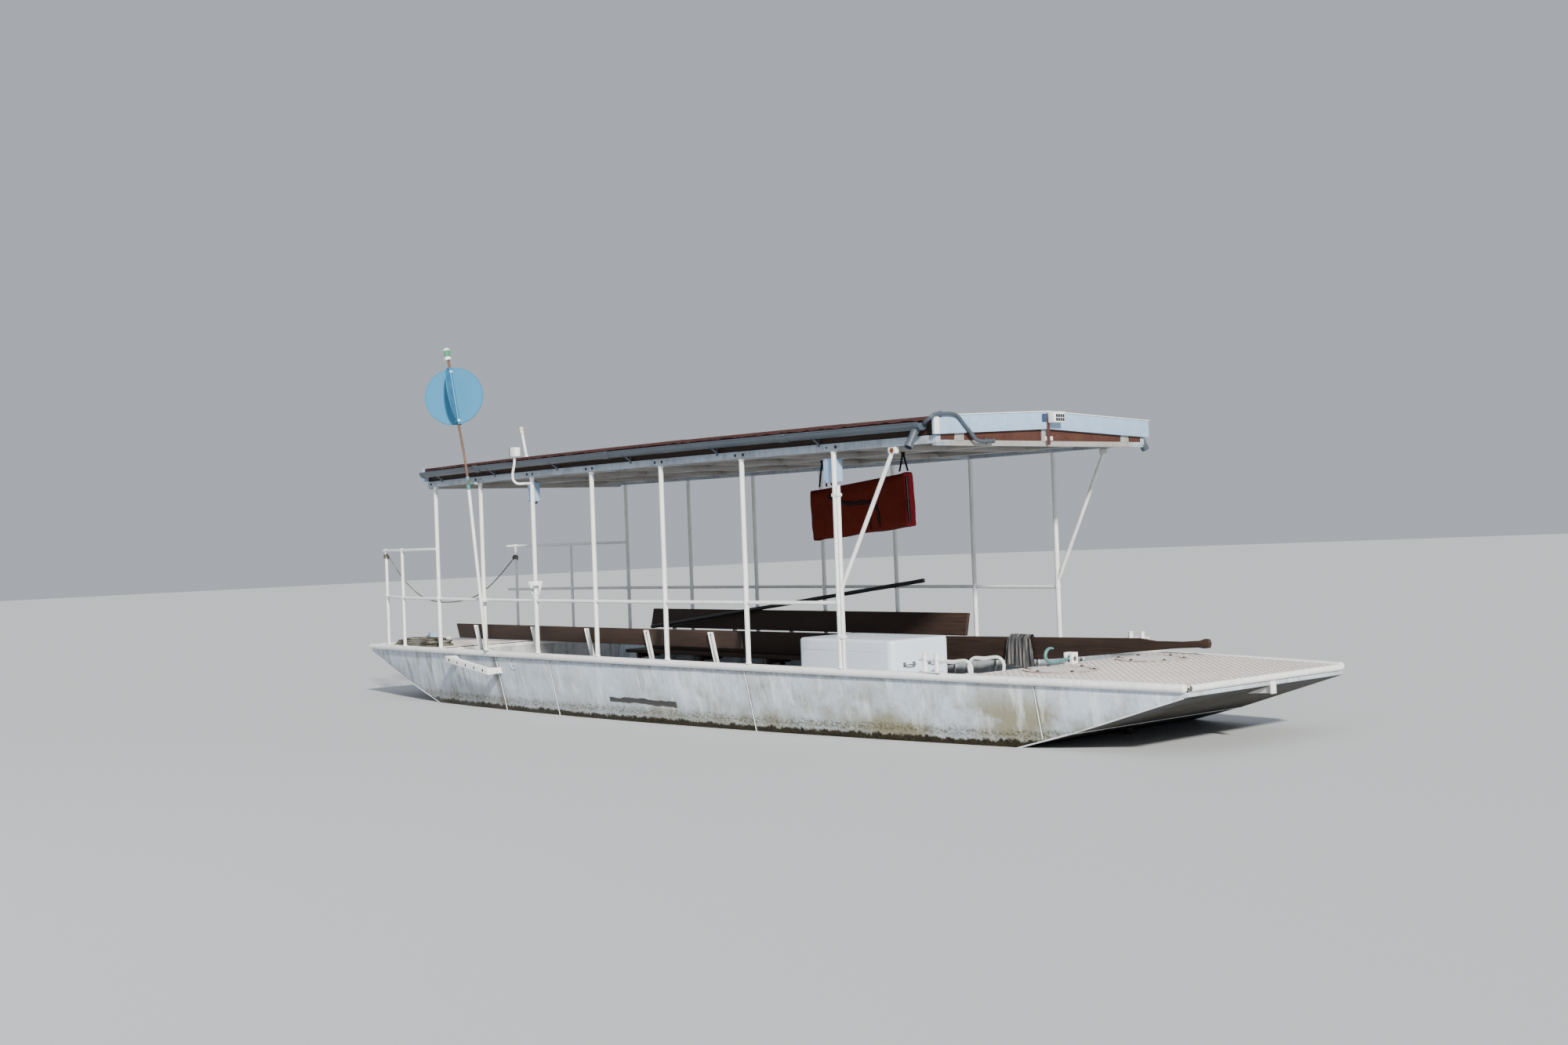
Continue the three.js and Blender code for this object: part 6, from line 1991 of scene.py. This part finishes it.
def build_towel():
    path = smooth_line([(y, z, 0) for y, z in ((1.008, 0.702), (1.0085, 0.76), (1.0105, 0.84), (1.013, 0.92),
        (1.018, 0.968), (1.03, 0.9885), (1.0475, 0.993), (1.065, 0.988), (1.0765, 0.966), (1.079, 0.92), (1.08, 0.86),
        (1.081, 0.775))], 5)
    rows = []
    for own in spaced(0, 1, 91):
        row = []
        for i, point in enumerate(path):
            share = i / (len(path) - 1)
            free = max(0, 1 - share / 0.38) if share < 0.5 else max(0, (share - 0.72) / 0.28)
            drawn = 0.66 + 0.34 * free ** 0.7
            x = 2.528 + 0.012 * free + 0.368 * drawn * (own - 0.5)
            wave = sin(own * 24 + 1.3 * free) + 0.5 * sin(own * 47 + 0.6 - 2 * free)
            fold = (0.0045 + 0.0035 * free) * wave
            y = point.x - 0.006 - 0.004 * free + fold if share < 0.4 else point.x + 0.0035 + abs(fold) * 0.5
            lift = 0.0035 + 0.5 * abs(fold) if 0.4 <= share <= 0.62 else 0
            drop = (0.03 * sin(own * 5.1 + 0.4) + 0.011 * sin(own * 17)) * free
            row.append((x, y, point.y + lift + drop * (share < 0.5)))
        rows.append(row)
    towel = skin(rows)
    thicken(towel, 0.004, 0)
    piece = settle("towel_cloth", "grey_cloth", replaces=["towel"], angle=180)


class FERRY_OT_towel(Operator):
    """Drapes the towel over the stowed board, gathered where it hangs"""

    bl_idname = "ferry.towel"
    bl_label = "Towel"

    def execute(self, context):
        build_towel()
        return {"FINISHED"}


# Stage

CAMERA_PLACE = Vector((12.71, -10.57, 1.96))
CAMERA_PITCH = radians(0.39)
CAMERA_ROLL = radians(-2.08)


def add_light(name, kind, way, energy, colour, place=(0, 0, 0)):
    """A light that shines one way."""
    light = bpy.data.lights.new(name, kind)
    light.energy = energy
    light.color = colour
    lamp = bpy.data.objects.new(name, light)
    lamp.location = place
    lamp.rotation_euler = Vector(way).to_track_quat("-Z", "Y").to_euler()
    bpy.context.scene.collection.objects.link(lamp)
    return light


def build_stage(context):
    lens = bpy.data.cameras.new("camera")
    lens.lens = sizes().lens
    lens.sensor_width = 36
    lens.clip_end = 500
    camera = bpy.data.objects.new("camera", lens)
    context.scene.collection.objects.link(camera)
    view = Matrix.Translation(CAMERA_PLACE)
    for angle, axis in ((sizes().bearing, "Z"), (pi / 2 + CAMERA_PITCH, "X"), (CAMERA_ROLL, "Z")):
        view = view @ Matrix.Rotation(angle, 4, axis)
    camera.matrix_world = view
    context.scene.camera = camera

    deselect()
    bpy.ops.mesh.primitive_plane_add(size=240, location=(0, 0, sizes().waterline), rotation=(0, -sizes().trim, 0))
    floor = context.active_object
    floor.name = "water_floor"
    material = bpy.data.materials.new("pale_floor")
    material.use_nodes = True
    shader = material.node_tree.nodes["Principled BSDF"]
    shader.inputs["Base Color"].default_value = (0.50, 0.52, 0.54, 1)
    shader.inputs["Roughness"].default_value = 0.6
    floor.data.materials.append(material)

    world = bpy.data.worlds.new("studio")
    world.use_nodes = True
    sky = world.node_tree.nodes["Background"]
    sky.inputs["Color"].default_value = (0.8, 0.86, 0.94, 1)
    sky.inputs["Strength"].default_value = 0.58
    context.scene.world = world

    add_light("key", "SUN", (-0.85, 0.4, -0.5), 7.5, (1, 0.95, 0.87)).angle = radians(4)
    add_light("fill", "AREA", (-4, 14, -6), 420, (0.9, 0.95, 1), (4, -14, 7)).size = 9


class FERRY_OT_stage(Operator):
    """Adds the camera, the pale floor at the waterline and the soft lights"""

    bl_idname = "ferry.stage"
    bl_label = "Stage"

    def execute(self, context):
        build_stage(context)
        return {"FINISHED"}


class FERRY_PT_panel(Panel):
    """Lists the ferry's pieces"""

    bl_idname = "FERRY_PT_panel"
    bl_label = "Ferry"
    bl_space_type = "VIEW_3D"
    bl_region_type = "UI"
    bl_category = "Ferry"

    def draw(self, context):
        for group in (context.scene.ferry_colours, context.scene.ferry_sizes):
            for key in group.__annotations__:
                self.layout.prop(group, key)
        for operator in OPERATORS:
            self.layout.operator(operator.bl_idname)


OPERATORS = (FERRY_OT_stage, FERRY_OT_gate_rope, FERRY_OT_mooring_rope, FERRY_OT_hull, FERRY_OT_decks, FERRY_OT_well,
    FERRY_OT_posts, FERRY_OT_roof, FERRY_OT_gutters, FERRY_OT_signals, FERRY_OT_lamps, FERRY_OT_engine,
    FERRY_OT_helm_seat, FERRY_OT_fittings, FERRY_OT_stern_gear, FERRY_OT_hanging_pad, FERRY_OT_towel)
CLASSES = (FerryColours, FerrySizes, *OPERATORS, FERRY_PT_panel)


def register():
    for each in CLASSES:
        bpy.utils.register_class(each)
    bpy.types.Scene.ferry_colours = PointerProperty(type=FerryColours)
    bpy.types.Scene.ferry_sizes = PointerProperty(type=FerrySizes)


def unregister():
    del bpy.types.Scene.ferry_sizes
    del bpy.types.Scene.ferry_colours
    for each in reversed(CLASSES):
        bpy.utils.unregister_class(each)


def main():
    register()
    for operator in OPERATORS:
        group, name = operator.bl_idname.split(".")
        getattr(getattr(bpy.ops, group), name)()


if __name__ == "__main__":
    main()
